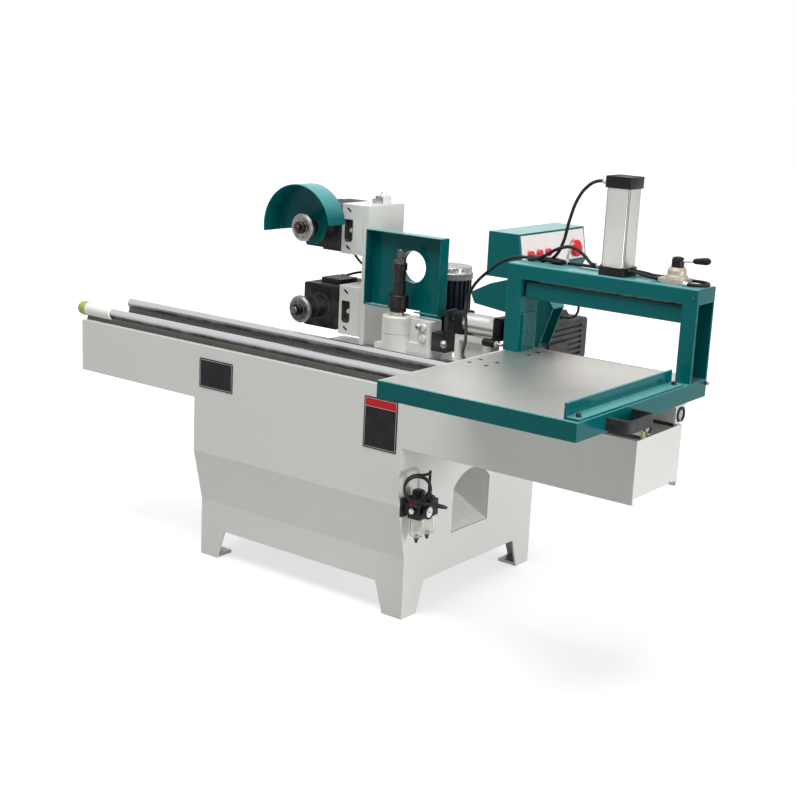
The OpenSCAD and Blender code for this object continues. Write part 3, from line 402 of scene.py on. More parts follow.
def motor_with_cap(name):
    """Spindle motor: blue-black body, grey band above it, speckled cast cover on top."""
    f = Finish(name, 0.45, gloss=0.12)
    at = f.along(Z)
    cover = f.over(at, MOTOR_COVER_Z * MM)
    band = f.over(at, MOTOR_BAND_Z * MM)
    speckle = f.noise(170, 6)
    body = f.ramp(f.noise(24, 6), 0.42, 0.75, srgb(14, 23, 32), srgb(26, 35, 44))
    grey = f.ramp(f.noise(40, 5), 0.35, 0.7, srgb(104, 110, 118), srgb(128, 134, 140))
    cast = f.ramp(speckle, 0.4, 0.58, srgb(112, 112, 108), srgb(214, 214, 208))
    f.colour(f.mixed(cover, f.mixed(band, body, grey), cast))
    f.metal(f.span(cover, 0, 1, 0, 0.6))
    f.rough(f.span(speckle, 0.3, 0.7, 0.52, 0.36))
    f.bump(speckle, 0.2, 0.7, 1.2)
    return f.material


ARBOR_NUT_Y, ARBOR_END_Y = (-25, -3.5), (-30, -24.5)


def arbor_steel(name, tip):
    """Cutter arbor: turned flange, its edges a painted highlight, dark nut in front of it, marked end of the
    thread.
    """
    f = Finish(name, 0.32, metallic=1.0)
    rings = f.noise(90, 4, f.stretched((1.0, 12.0, 1.0)))
    turned = f.ramp(rings, 0.3, 0.7, srgb(92, 91, 88), srgb(142, 140, 136))
    # Sharp edges painted near white: a painted highlight on the flange's rim.
    steel = f.mixed(f.edges(4), turned, srgb(226, 224, 218))
    nut = f.between(Y, *ARBOR_NUT_Y)
    end = f.between(Y, *ARBOR_END_Y)
    f.colour(f.mixed(end, f.mixed(nut, steel, srgb(58, 56, 54)), tip))
    f.metal(f.span(end, 0, 1, 1, 0.4))
    f.rough(f.span(rings, 0.3, 0.7, 0.24, 0.44))
    f.bump(rings, 0.1, 0.4, 0.8)
    return f.material


SPINDLE_NECK_Z, SPINDLE_NUT_Z = 805.5, (956, 1000)


def blacked_spindle(name):
    """Cutter spindle: blacked steel, with bare ground steel at its neck and its top nut."""
    f = Finish(name, 0.42, metallic=1.0)
    neck = f.under(f.along(Z), SPINDLE_NECK_Z * MM)
    nut = f.between(Z, *SPINDLE_NUT_Z)
    marks = f.noise(70, 5, f.stretched((1.0, 1.0, 14.0)))
    black = f.ramp(marks, 0.3, 0.7, srgb(30, 30, 31), srgb(66, 64, 62))
    f.colour(f.mixed(neck, f.mixed(nut, black, srgb(84, 82, 80)), srgb(188, 184, 176)))
    f.rough(f.span(marks, 0.3, 0.7, 0.3, 0.5))
    f.bump(marks, 0.12, 0.4, 1)
    return f.material


def clear_plastic(name):
    """Clear bowl of the air unit, faintly frosted."""
    f = Finish(name, 0.06)
    f.shader.inputs["Transmission Weight"].default_value = 0.96
    f.shader.inputs["IOR"].default_value = 1.25
    f.colour(f.ramp(f.noise(30, 3), 0.3, 0.7, srgb(240, 236, 234), srgb(250, 249, 247)))
    f.bump(f.noise(120, 2), 0.05, 0.5)
    return f.material


BORDER_OUT, BORDER_IN, BAND_LINE = 3.4, 5, 1.6


def plate_face(name, box, band=0.0):
    """A bare black plate with a thin pale border; where it has a band, a red field across its top."""
    (x0, x1), (z0, z1) = box
    f = Finish(name, 0.4, gloss=0.12)

    def within(edge):
        return f.both(f.between(X, x0 + edge, x1 - edge), f.between(Z, z0 + edge, z1 - edge))

    ground = f.ramp(f.noise(30, 6), 0.4, 0.75, srgb(25, 27, 29), srgb(38, 40, 42))
    inside = within(BORDER_IN)
    border = f.math("SUBTRACT", within(BORDER_OUT), inside)
    if band:
        field = f.both(inside, f.between(Z, z1 - band, z1))
        line = f.both(inside, f.between(Z, z1 - band - BAND_LINE, z1 - band))
        ground = f.mixed(field, ground, srgb(196, 36, 38))
        border = f.math("MAXIMUM", border, line)
    f.colour(f.mixed(f.both(border, 0.8), ground, srgb(200, 200, 196)))
    f.rough(f.span(f.noise(60, 4), 0.3, 0.7, 0.34, 0.5))
    f.bump(f.noise(500, 2), 0.05, 0.4, 0.8)
    return f.material


DIAL_MARKS, MARK_IN, MARK_OUT, DIAL_GAP = 24, 10.8, 13.2, 9


def gauge_paper(name):
    """White dial with a ring of short marks, open at its bottom."""
    f = Finish(name, 0.35)
    angle = f.math("ARCTAN2", f.offset(Z, GAUGE_Z), f.offset(Y, REGULATOR_Y))
    beat = f.math("FRACT", f.math("MULTIPLY", angle, DIAL_MARKS / (2 * math.pi)))
    far = f.away((Y, Z), (REGULATOR_Y, GAUGE_Z))
    ring = f.both(f.over(far, MARK_IN * MM), f.under(far, MARK_OUT * MM))
    upper = f.over(f.along(Z), (GAUGE_Z - DIAL_GAP) * MM)
    marks = f.both(f.both(ring, f.under(beat, 0.3)), upper)
    paper = f.ramp(f.noise(40, 3), 0.3, 0.7, srgb(228, 228, 222), srgb(240, 240, 236))
    f.colour(f.mixed(marks, paper, srgb(30, 30, 32)))
    f.rough(f.span(f.noise(80, 3), 0.3, 0.7, 0.3, 0.42))
    return f.material


def bright_chute(name, tone):
    """Chute sheet, polished brighter down its slope by the chips."""
    f = Finish(name, 0.4, coat=0.1, gloss=0.4)
    streaks = f.noise(26, 5, f.stretched((0.6, 3.0, 0.6)))
    f.colour(f.ramp(streaks, 0.3, 0.7, shade(tone, 0.94), shade(tone, 1.05)))
    f.rough(f.span(streaks, 0.3, 0.7, 0.3, 0.5))
    f.bump(streaks, 0.06, 0.4, 1)
    return f.material


# The lighter edge colour is wear on the white and, on the teal, also a painted highlight.
WHITE_COAT = {"tone": srgb(216, 217, 212), "wear_and_edge_highlight": srgb(232, 232, 228)}
# The teal's paler colour on what faces up is a painted highlight.
TEAL_COAT = {"tone": srgb(4, 94, 97), "wear_and_edge_highlight": srgb(80, 168, 166), "painted_facing_shading": srgb(134, 204, 202),
             "rough": 0.14, "coat": 0.0, "gloss": 0.08}
FRAME_LOW, FRAME_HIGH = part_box("table_frame")
RIM = 10.5
RUBBED_FROM = (FRAME_LOW[X] / MM + RIM, FRAME_HIGH[Y] / MM - RIM)

WHITE = enamel("white_enamel", **WHITE_COAT)
UPPER_WHITE = enamel("upper_bracket_enamel", slots=UPPER_Z, **WHITE_COAT)
LOWER_WHITE = enamel("lower_bracket_enamel", slots=LOWER_Z, **WHITE_COAT)
TEAL = enamel("teal_enamel", **TEAL_COAT)
FRAME_TEAL = enamel("table_frame_enamel", bare=RUBBED_FROM, **TEAL_COAT)
CHUTE = bright_chute("chute_enamel", srgb(230, 230, 225))
BLACK = moulded("black_castings", srgb(30, 32, 34), 0.45, grain=500, depth=0.25)
MOTOR = moulded("motor_black", srgb(26, 28, 32), 0.42, grain=600, depth=0.2)
SAW_MOTOR = moulded("saw_motor_grey", srgb(38, 39, 41), 0.45, grain=600, depth=0.2)
RUBBER = moulded("black_rubber", srgb(22, 22, 23), 0.5, grain=1200, depth=0.1, spots=0.06)
PLASTIC = moulded("black_plastic", srgb(22, 24, 25), 0.35, grain=1500, depth=0.08, spots=0.05)
RED = moulded("red_plastic", srgb(205, 28, 34), 0.3, grain=1500, depth=0.06, spots=0.05)
MAROON = moulded("maroon_band", srgb(108, 30, 48), 0.4, grain=1500, depth=0.06, spots=0.08)
OLIVE = moulded("olive_rubber", srgb(176, 178, 96), 0.6, grain=700, depth=0.2, spots=0.2)
FELT = moulded("wiper_felt", srgb(170, 172, 96), 0.9, grain=900, depth=0.8, spots=0.3, gloss=0.1)
NYLON = moulded("white_nylon", srgb(240, 240, 234), 0.42, grain=1200, depth=0.05, spots=0.02)
PANEL = moulded("panel_face", srgb(226, 222, 220), 0.4, grain=1600, depth=0.03, spots=0.02)
TABLE = ground_steel("table_steel", srgb(212, 209, 203), 0.38, along=(1.0, 26.0, 1.0), holes=TABLE_HOLES)
STEEL = ground_steel("machined_steel", srgb(150, 150, 148), 0.36)
NICKEL = ground_steel("nickel_plate", srgb(192, 190, 184), 0.22, marks=0.06, stain=0.15)
OILED = ground_steel("oiled_thread", srgb(34, 33, 32), 0.55, along=(1.0, 1.0, 8.0))
BRIGHT_ZINC = ground_steel("bright_zinc", srgb(224, 224, 222), 0.34, stain=0.5)
DARK_STEEL = ground_steel("dark_steel", srgb(88, 86, 84), 0.42)
CHROME = chrome_bar("chrome_bar", srgb(206, 207, 210))
CASTING = rough_cast("die_cast", srgb(182, 173, 161), 0.45, 0.35)
CLEAR = clear_plastic("clear_bowl")
CLAMP = two_part("clamp_cylinder_finish", Z, (BARREL_LOW, BARREL_HIGH), srgb(190, 189, 184),
                 srgb(20, 23, 23), inner_rough=0.38, tube=(CLAMP_X, CLAMP_Y))
SHIFT = two_part("shift_cylinder_finish", X, (302, 414), srgb(196, 196, 192), srgb(20, 23, 23))
LEVER = two_part("lever_finish", X, (1075, 1101), srgb(190, 190, 188), srgb(20, 20, 21), inner_rough=0.2)
POD = motor_with_cap("spindle_motor_finish")
UPPER_STEEL = arbor_steel("upper_arbor_steel", srgb(74, 27, 25))
LOWER_STEEL = arbor_steel("lower_arbor_steel", srgb(104, 102, 100))
SPINDLE = blacked_spindle("blacked_spindle")
NAME_FACE = plate_face("name_plate_face", ((-378, -240), (556, 647)))
NOTICE_FACE = plate_face("notice_plate_face", ((266, 383), (498, 646)), band=27)

FINISH_OF = {
    WHITE: ["cabinet", "beam", "column", "saw_bracket", "control_post", "cylinder_seat",
            "bearing_blocks", "carriage", "spindle_housing"],
    UPPER_WHITE: ["upper_bracket"],
    LOWER_WHITE: ["lower_bracket"],
    CHUTE: ["chip_chute"],
    FRAME_TEAL: ["table_frame"],
    TEAL: ["saw_hood", "control_box", "fence", "gantry", "post_plate", "press_beam", "chip_hood"],
    BLACK: ["handle", "fence_bolts", "shift_rod"],
    MOTOR: ["upper_motor", "lower_motor"],
    SAW_MOTOR: ["saw_motor"],
    POD: ["spindle_motor"],
    RUBBER: ["seal_rings"],
    PLASTIC: ["air_unit", "air_knob", "air_gauge"],
    LEVER: ["valve_lever"],
    RED: ["stop_button", "start_button_1", "start_button_2", "start_button_3"],
    OLIVE: ["bumper"],
    NYLON: ["stop_sleeve"],
    PANEL: ["control_panel"],
    TABLE: ["table_plate"],
    STEEL: ["foot_plates", "slideway", "saw_arbor"],
    BRIGHT_ZINC: ["screw_block"],
    UPPER_STEEL: ["upper_arbor"],
    LOWER_STEEL: ["lower_arbor"],
    SPINDLE: ["spindle_arbor"],
    CHROME: ["rails", "piston_rod"],
    DARK_STEEL: ["rail_seats"],
    SHIFT: ["shift_cylinder"],
    CASTING: ["hand_valve"],
    CLEAR: ["air_bowls"],
    NAME_FACE: ["name_plate"],
    NOTICE_FACE: ["notice_plate"],
}
for finish, names in FINISH_OF.items():
    for name in names:
        nodes[name].data.materials.clear()
        nodes[name].data.materials.append(finish)


# Hoses and cables

HOSE_D = 9.0
COIL_D = 8.0
CABLE_D = 8.0
SAW_CABLE_D = 7.5
SMOOTH = 8


def bend(a, b, c, r, steps=6):
    """Points round a corner b, on the way from a to c, on a circle of radius r."""
    a, b, c = Vector(a), Vector(b), Vector(c)
    u, v = (a - b).normalized(), (c - b).normalized()
    half = u.angle(v) / 2
    middle = b + (u + v).normalized() * (r / math.sin(half))
    e = (b + u * (r / math.tan(half)) - middle) / r
    g = b + v * (r / math.tan(half)) - middle
    f = (g - g.dot(e) * e).normalized()
    sweep = math.pi - 2 * half
    return [tuple(middle + r * (math.cos(sweep * i / steps) * e + math.sin(sweep * i / steps) * f))
            for i in range(steps + 1)]


def line_through(name, points, diameter):
    """A round line along given points, as one smooth spline."""
    data = bpy.data.curves.new(name, "CURVE")
    data.dimensions = "3D"
    data.bevel_depth = diameter / 2 * MM
    data.bevel_resolution = 4
    data.resolution_u = SMOOTH
    data.use_fill_caps = True
    line = data.splines.new("BEZIER")
    line.bezier_points.add(len(points) - 1)
    for knot, p in zip(line.bezier_points, points):
        knot.co = mm(*p)
        knot.handle_left_type = "AUTO"
        knot.handle_right_type = "AUTO"
    made = bpy.data.objects.new(name, data)
    bpy.context.scene.collection.objects.link(made)
    data.materials.append(RUBBER)
    bpy.context.view_layer.update()
    return made, line.calc_length()


def hose(name, points, diameter, body):
    """A hose or cable that lies on one body and goes back into the machine."""
    made, length = line_through(name, points, diameter)
    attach(made, body)
    return made


def head_cable(name, points):
    """A motor cable from a cutter head to the column, made a fixed mesh where it lies."""
    made, length = line_through(name, points, CABLE_D)
    bpy.ops.object.select_all(action="DESELECT")
    made.select_set(True)
    bpy.context.view_layer.objects.active = made
    bpy.ops.object.convert(target="MESH")
    made = bpy.context.object
    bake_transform(made)


SIDE = [(1089.3, -155, 1046.8), (1138.5, -155, 1046.8), (1138.5, -84, 1046.8), (1079, -84, 1046.8)]
SIDE_BEND = 35
TABLE_HOSES = {
    "hose_to_cap": [
        (840.2, -133, 1280), (828.2, -133, 1280), (810.2, -132, 1278), (778, -123, 1262), (744, -113, 1224),
        (720, -107, 1164), (704, -104, 1104), (682, -103, 1064), (650, -102, 1046.8), (638, -102, 1046.8)],
    "hose_to_base": [
        (840.2, -133, 1060), (828.2, -133, 1060), (810.2, -132, 1062), (784, -123, 1078), (740, -116, 1095),
        (698, -113, 1087), (654, -113, 1062), (615, -113, 1046.8), (603, -113, 1046.8)],
    "hose_supply": [
        SIDE[0], *bend(*SIDE[:3], SIDE_BEND), *bend(*SIDE[1:], SIDE_BEND)[1:], SIDE[3],
        (950, -84, 1046.8), (790, -85, 1046.8), (690, -87, 1046.8), (624, -93, 1048.8), (544, -104, 1041),
        (474, -115, 994), (432, -129, 938), (426, -141, 892), (442, -159, 850), (468, -195, 812),
        (492, -241, 788), (524, -279, 779), (544, -288.5, 778), (565.7, -293, 777.5), (583.7, -293, 777.5)],
    "hose_valve_front": [
        (927.8, -145, 1057), (939.8, -145, 1057), (972.25, -146.8, 1054.25), (1004.7, -143.8, 1049.5),
        (1016.7, -143.8, 1049.5)],
    "hose_valve_rear": [
        (927.8, -121, 1057), (939.8, -121, 1057), (972.25, -119.2, 1054.25), (1004.7, -122.2, 1049.5),
        (1016.7, -122.2, 1049.5)],
}
for name, points in TABLE_HOSES.items():
    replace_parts(hose(name, points, HOSE_D, "table"), "air_hoses")

# The air line: up out of the oiler, over into a roll, and in a wide loop round to the cabinet's wall

RING_TURN = math.radians(36.5)
RING_A = Vector((math.cos(RING_TURN), math.sin(RING_TURN), 0))
RING_N = Vector((RING_A.y, -RING_A.x, 0))
RING_R, RING_LONG, RING_STEPS, PER_TURN = 36, 23, 60, 24
RING_AT = Vector((452, -365, 414))
RING_HEAD = RING_AT + Vector((0, 0, RING_R))
AIR_OUT = Vector((AIR_X, OILER_Y, 380.3))
AIR_LEAD = AIR_OUT + Vector((0, 0, 16))
AIR_BEND = 33
RISE = Vector((AIR_X, OILER_Y, RING_HEAD.z))
OVER = RISE + (RING_AT - RISE).dot(RING_N) * RING_N
LEAVE = RING_AT + RING_LONG * RING_N - Vector((0, 0, RING_R))
LOOP_R, LOOP_STEPS, LOOP_DROP = 85, 20, 56
LOOP_AT = LEAVE + LOOP_R * Vector((-RING_A.y, RING_A.x, 0))
WALL_END = Vector((400, LOOP_AT.y + LOOP_R, LEAVE.z - LOOP_DROP))
WALL_GAP = 0.3


def ring_point(i):
    """A point of the rolled-up part of the air line."""
    angle = math.pi / 2 + 2 * math.pi * i / PER_TURN
    return (RING_AT + RING_R * math.cos(angle) * RING_A + Vector((0, 0, RING_R * math.sin(angle)))
            + RING_LONG * i / RING_STEPS * RING_N)


def loop_point(i):
    """A point of the wide loop from the roll to the wall."""
    angle = RING_TURN + (math.pi - RING_TURN) * i / LOOP_STEPS
    return (LOOP_AT.x + LOOP_R * math.sin(angle), LOOP_AT.y - LOOP_R * math.cos(angle),
            LEAVE.z - LOOP_DROP / 2 * (1 - math.cos(math.pi * i / LOOP_STEPS)))


air_line = hose("air_line", [tuple(AIR_OUT), tuple(AIR_LEAD), *bend(AIR_OUT, RISE, OVER, AIR_BEND),
                             *bend(RISE, OVER, RING_HEAD, AIR_BEND),
                             *[tuple(ring_point(i)) for i in range(1, RING_STEPS)],
                             *[loop_point(i) for i in range(LOOP_STEPS + 1)],
                             tuple(WALL_END + Vector((WALL_GAP, 0, 0)))], COIL_D, "machine")
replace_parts(air_line, "air_coil")

head_cable("upper_head_cable",
           [(-338, 243.3, 946.5), (-338, 258, 946), (-337.5, 275, 941.5), (-336, 289, 930), (-331, 299, 913),
            (-319, 306, 895), (-299, 311, 879), (-271, 314, 867), (-237, 316, 859), (-203, 315, 852),
            (-174, 307, 846), (-158, 290.3, 843)])
head_cable("lower_head_cable",
           [(-338, 243.3, 842.5), (-338, 258, 843), (-335, 275, 846), (-324, 291, 851), (-304, 302, 856),
            (-277, 307, 857), (-248, 310, 852), (-220, 312, 843), (-193, 311, 832), (-170, 304, 822),
            (-158, 290.3, 817)])

CURL_X, CURL_Y, CURL_Z, CURL_R = 592, 150, 881, 30
SAW_CURL = [(CURL_X + CURL_R * math.sin(math.radians(a)), CURL_Y + a / 30,
             CURL_Z - CURL_R * math.cos(math.radians(a))) for a in range(0, 181, 30)]
hose("saw_cable", [(563.3, 150, 851), (580, 150, 851), *SAW_CURL, (568, 168, 906), (546, 196, 890),
                   (522, 228, 866), (494, 262, 850), (460, 286, 849), (424, 304, 857), (404, 312, 865),
                   (385.3, 314, 868)], SAW_CABLE_D, "machine")


# Small fittings, each modelled from a primitive; sizes and places in millimetres

WELD = 0.002 * MM
FLAT = 0.99
SHARP = math.radians(35)
TURN_TO = {X: (0, math.pi / 2, 0), Y: (math.pi / 2, 0, 0), Z: (0, 0, 0)}


def fresh(name, add, **size):
    """A new primitive, alone selected, with its place in its mesh, open for shaping."""
    bpy.ops.object.select_all(action="DESELECT")
    add(**size)
    made = bpy.context.object
    made.name = name
    made.data.name = name
    bpy.ops.object.transform_apply(location=True, rotation=True, scale=True)
    bpy.ops.object.mode_set(mode="EDIT")
    return made


def rod(name, sides, radius, length, at, axis=Z, caps="NGON"):
    """A round bar, or a prism of few sides, along an axis, open for shaping."""
    return fresh(name, bpy.ops.mesh.primitive_cylinder_add, vertices=sides, radius=radius * MM,
                 depth=length * MM, location=mm(*at), rotation=TURN_TO[axis], end_fill_type=caps)


def block(name, size, at):
    """A box, open for shaping."""
    return fresh(name, bpy.ops.mesh.primitive_cube_add, size=1, scale=mm(*size), location=mm(*at))


def side(axis, way=1):
    """A test for faces that look along an axis, or against it where way is -1."""
    return lambda middle, normal: normal[axis] * way > FLAT


def square_to(axis):
    """A test for faces square to an axis at either end, or for edges along it."""
    return lambda middle, normal: abs(normal[axis]) > FLAT


def pick(piece, test, edges=False):
    """Selects the faces that test accepts by their middle and normal, or edges by middle and direction."""
    bpy.ops.mesh.select_mode(type="EDGE" if edges else "FACE")
    bpy.ops.mesh.select_all(action="DESELECT")
    grid = bmesh.from_edit_mesh(piece.data)
    if edges:
        for edge in grid.edges:
            start, end = (corner.co for corner in edge.verts)
            edge.select_set(test((start + end) / 2 / MM, (end - start).normalized()))
    else:
        for face in grid.faces:
            face.select_set(test(face.calc_center_median() / MM, face.normal))
    bmesh.update_edit_mesh(piece.data)


def draw_out(*way):
    """Extrudes what is selected by a step."""
    bpy.ops.mesh.extrude_region_move(TRANSFORM_OT_translate={"value": mm(*way)})


def inset(width, apart=False):
    """Smaller faces inside the selected ones, each by itself where apart."""
    bpy.ops.mesh.inset(thickness=width * MM, use_even_offset=True, use_individual=apart)


def step(width, *way):
    """A smaller face inside the selected one, drawn out."""
    inset(width)
    draw_out(*way)


def pierce(wall):
    """A hole between two selected faces, with a wall left round it."""
    inset(wall, apart=True)
    bpy.ops.mesh.bridge_edge_loops()


def thicken(piece, wall, offset=0):
    """Gives an open sheet its wall, and ends its shaping."""
    bpy.ops.object.mode_set(mode="OBJECT")
    made = piece.modifiers.new("wall", "SOLIDIFY")
    made.thickness = wall * MM
    made.offset = offset
    bpy.ops.object.modifier_apply(modifier="wall")


def resize(value, *centre):
    bpy.ops.transform.resize(value=value, center_override=mm(*centre))


def rotate(degrees, axis, *centre):
    bpy.ops.transform.rotate(value=math.radians(degrees), orient_axis=axis, center_override=mm(*centre))


def close(piece, rounding=0.0, segments=2):
    """Ends the shaping: rounds the sharp edges, welds what the rounding closed up, smooths the rest."""
    bpy.ops.object.mode_set(mode="OBJECT")
    if rounding:
        edge = piece.modifiers.new("rounding", "BEVEL")
        edge.width = rounding * MM
        edge.segments = segments
        edge.limit_method = "ANGLE"
        edge.angle_limit = SHARP
        bpy.ops.object.modifier_apply(modifier="rounding")
        bpy.ops.object.mode_set(mode="EDIT")
        bpy.ops.mesh.select_all(action="SELECT")
        bpy.ops.mesh.remove_doubles(threshold=WELD)
        bpy.ops.mesh.dissolve_degenerate(threshold=WELD)
        bpy.ops.object.mode_set(mode="OBJECT")
    bpy.ops.object.shade_smooth_by_angle(angle=SHARP)
    return piece


def joined(first, *others):
    """Several shaped pieces made one."""
    bpy.ops.object.select_all(action="DESELECT")
    for piece in (first, *others):
        piece.select_set(True)
    bpy.context.view_layer.objects.active = first
    bpy.ops.object.join()
    return first


def dress(piece, finish, body):
    """Gives a piece its finish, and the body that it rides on."""
    piece.data.materials.clear()
    piece.data.materials.append(finish)
    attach(piece, body)
    return piece


def copies(model, name, places, finish, body):
    """Copies of a piece modelled at the origin along Z, each turned to its direction and set in place."""
    for number, (at, way) in enumerate(places, 1):
        made = model.copy()
        made.data = model.data.copy()
        made.name = made.data.name = f"{name}_{number}"
        bpy.context.scene.collection.objects.link(made)
        turn = Vector(UP).rotation_difference(Vector(way)).to_matrix().to_4x4()
        made.data.transform(Matrix.Translation(mm(*at)) @ turn)
        dress(made, finish, body)
    bpy.data.objects.remove(model)


def hose_collar():
    """Push-in collar round a hose: hexagon foot, round neck, release ring."""
    foot = close(rod("collar_foot", 6, 8.2, 6, (0, 0, 3)), 0.5)
    neck = rod("collar_neck", 28, 7, 5, (0, 0, 8))
    pick(neck, side(Z))
    step(0.8, 0, 0, 2.4)
    step(0.9, 0, 0, -1.2)
    return joined(foot, close(neck, 0.3))


copies(hose_collar(), "hose_collar", [
    ((840.5, -133, 1280), LEFT), ((840.5, -133, 1060), LEFT),
    ((1089, -155, 1046.8), RIGHT), ((584, -293, 777.5), LEFT),
], NICKEL, "table")


def port_ring():
    """Short ring where a hose enters a port face."""
    ring = rod("ring", 28, 6.6, 4, (0, 0, 2))
    pick(ring, side(Z))
    step(0.8, 0, 0, 2)
    step(0.7, 0, 0, -1)
    return close(ring, 0.3)


copies(port_ring(), "port_ring", [
    ((927.5, -145, 1057), RIGHT), ((927.5, -121, 1057), RIGHT),
    ((1017, -143.8, 1049.5), LEFT), ((1017, -122.2, 1049.5), LEFT),
], PLASTIC, "table")


def cable_gland(r):
    """Screwed cable gland: hexagon of corner radius r, and a round nut stepped in at its end."""
    base = close(rod("gland_hex", 6, r, 6, (0, 0, 3)), 0.6)
    dome = rod("gland_dome", 28, 0.81 * r, 7, (0, 0, 9))
    pick(dome, side(Z))
    step(0.09 * r, 0, 0, 2.2)
    step(0.09 * r, 0, 0, 1.2)
    return joined(base, close(dome, 0.6))


GLANDS = [
    ("column_gland", 13, "machine", [((-158, 290, 843), BACK), ((-158, 290, 817), BACK)]),
    ("upper_gland", 8.5, "upper_head", [((-338, 243, 946.5), BACK)]),
    ("lower_gland", 8.5, "lower_head", [((-338, 243, 842.5), BACK)]),
    ("saw_gland", 9, "machine", [((563, 150, 851), RIGHT), ((385, 314, 868), RIGHT)]),
    ("wall_gland", 13, "machine", [(WALL_END, RIGHT)]),
]
for name, corner, body, places in GLANDS:
    copies(cable_gland(corner), name, places, PLASTIC, body)

WRAP_TURN = 7


def hose_wrap():
    """Taped bundle where the hoses meet on the gantry, fuller in its middle."""
    wrap = rod("hose_wrap", 24, 1, 100, (0, 0, 0), X)
    pick(wrap, lambda m, n: abs(n.x) < 0.5)
    bpy.ops.mesh.subdivide(number_cuts=1)
    bpy.ops.mesh.select_all(action="SELECT")
    resize((1, 16, 7.2), 0, 0, 0)
    for way in (-1, 1):
        pick(wrap, side(X, way))
        draw_out(5.88 * way, 0, 0)
        resize((1, 0.7, 0.75), 54.88 * way, 0, -1)
    bpy.ops.mesh.select_all(action="SELECT")
    rotate(WRAP_TURN, "Z", 0, 0, 0)
    bpy.ops.transform.translate(value=mm(654, -98, 1050.4))
    return close(wrap, 1.6, 3)


dress(hose_wrap(), RUBBER, "table")


def wrap_clip():
    """Bright spring clip round the bundle, with a raised back."""
    clip = rod("wrap_clip", 32, 1, 7, (0, 0, 0), X, caps="NOTHING")
    bpy.ops.mesh.select_all(action="SELECT")
    resize((1, 16.9, 7.9), 0, 0, 0)
    rotate(WRAP_TURN, "Z", 0, 0, 0)
    bpy.ops.transform.translate(value=mm(678, -95.2, 1050.4))
    thicken(clip, 1.2)
    bpy.ops.object.mode_set(mode="EDIT")
    pick(clip, lambda m, n: n.z > 0.9 and m.z > 1058)
    draw_out(0, 0, 3)
    return close(clip, 0.4)


dress(wrap_clip(), NICKEL, "table")


def cable_tie():
    """White tie: strap round the supply hose, lock, and the long tail left standing."""
    x, y = 714, -91.5
    strap = rod("cable_tie", 28, 5.6, 3.8, (x, -86.6, 1047.7), X, caps="NOTHING")
    thicken(strap, 1.2)
    lock = block("tie_lock", (9.4, 5.6, 5), (x, y, 1052.2))
    pick(lock, side(Z))
    inset(0.7)
    resize((1, 0.3, 1), x, y, 1054.7)
    for way in ((0.8, -0.4, 9), (2.2, -0.7, 10), (3.4, -0.8, 11), (4.4, -0.6, 12), (5, -0.4, 8)):
        draw_out(*way)
    return joined(strap, close(lock, 0.4))


dress(cable_tie(), NYLON, "table")


def gauge_dial():
    """Paper dial in the gauge, sunk behind a thin rim."""
    dial = rod("gauge_dial", 40, 15.3, 0.5, (GAUGE_X + 0.25, REGULATOR_Y, GAUGE_Z), X)
    pick(dial, side(X))
    step(0.8, -0.2, 0, 0)
    return close(dial)


dress(gauge_dial(), gauge_paper("gauge_paper"), "machine")


def gauge_bezel():
    """Black ring round the dial, stepped down to the case."""
    at = (GAUGE_X - 2, REGULATOR_Y, GAUGE_Z)
    ring = rod("gauge_bezel", 48, 21, 7, at, X)
    pick(ring, square_to(X))
    inset(2.2, apart=True)
    resize((1.3, 1, 1), *at)
    pierce(3.2)
    return close(ring, 0.5)


dress(gauge_bezel(), PLASTIC, "machine")


def gauge_needle():
    """Tapered needle on a round boss."""
    boss = rod("gauge_needle", 20, 2.2, 0.9, (GAUGE_X + 0.75, REGULATOR_Y, GAUGE_Z), X)
    pick(boss, side(X))
    step(0.6, 0.3, 0, 0)
    close(boss)
    x, y = GAUGE_X + 0.8, REGULATOR_Y
    blade = block("needle_blade", (0.4, 1.6, 4), (x, y, GAUGE_Z + 2))
    pick(blade, side(Z))
    draw_out(0, 0, 7)
    resize((1, 0.25, 1), x, y, GAUGE_Z + 11)
    bpy.ops.mesh.select_all(action="SELECT")
    rotate(-38, "X", x, y, GAUGE_Z)
    return joined(boss, close(blade))


dress(gauge_needle(), PLASTIC, "machine")


def regulator_band():
    """Coloured band round the regulator's neck."""
    band = rod("regulator_band", 36, 20.6, 4, (AIR_X, REGULATOR_Y, 366.2))
    pick(band, side(Z))
    step(1.2, 0, 0, 0.8)
    return close(band, 0.4)


dress(regulator_band(), MAROON, "machine")


def regulator_tag():
    """Small bare coloured plate on the regulator's front."""
    tag = block("regulator_tag", (28, 1.2, 9), (438, -363.4, 358))
    pick(tag, side(Y, -1))
    step(0.9, 0, -0.6, 0)
    return close(tag, 0.3)


dress(regulator_tag(), MAROON, "machine")


def inlet_plug():
    """Plated plug in the regulator's open port, with a round socket."""
    plug = rod("inlet_plug", 28, 8.2, 4, (AIR_X, -371, GAUGE_Z), Y)
    pick(plug, side(Y, -1))
    step(2, 0, -3, 0)
    step(2.2, 0, 2, 0)
    return close(plug, 0.5)


dress(inlet_plug(), NICKEL, "machine")


def drain_cock():
    """Drain under a bowl: collar, body and slanted tip."""
    cock = rod("drain_cock", 24, 6.5, 4, (0, 0, 2))
    pick(cock, side(Z))
    step(2, 0, 0, 5)
    step(0.8, 0.8, 0, 3)
    return close(cock, 0.4)


copies(drain_cock(), "drain_cock", [((AIR_X, y, 256), DOWN) for y in (REGULATOR_Y, OILER_Y)],
       PLASTIC, "machine")


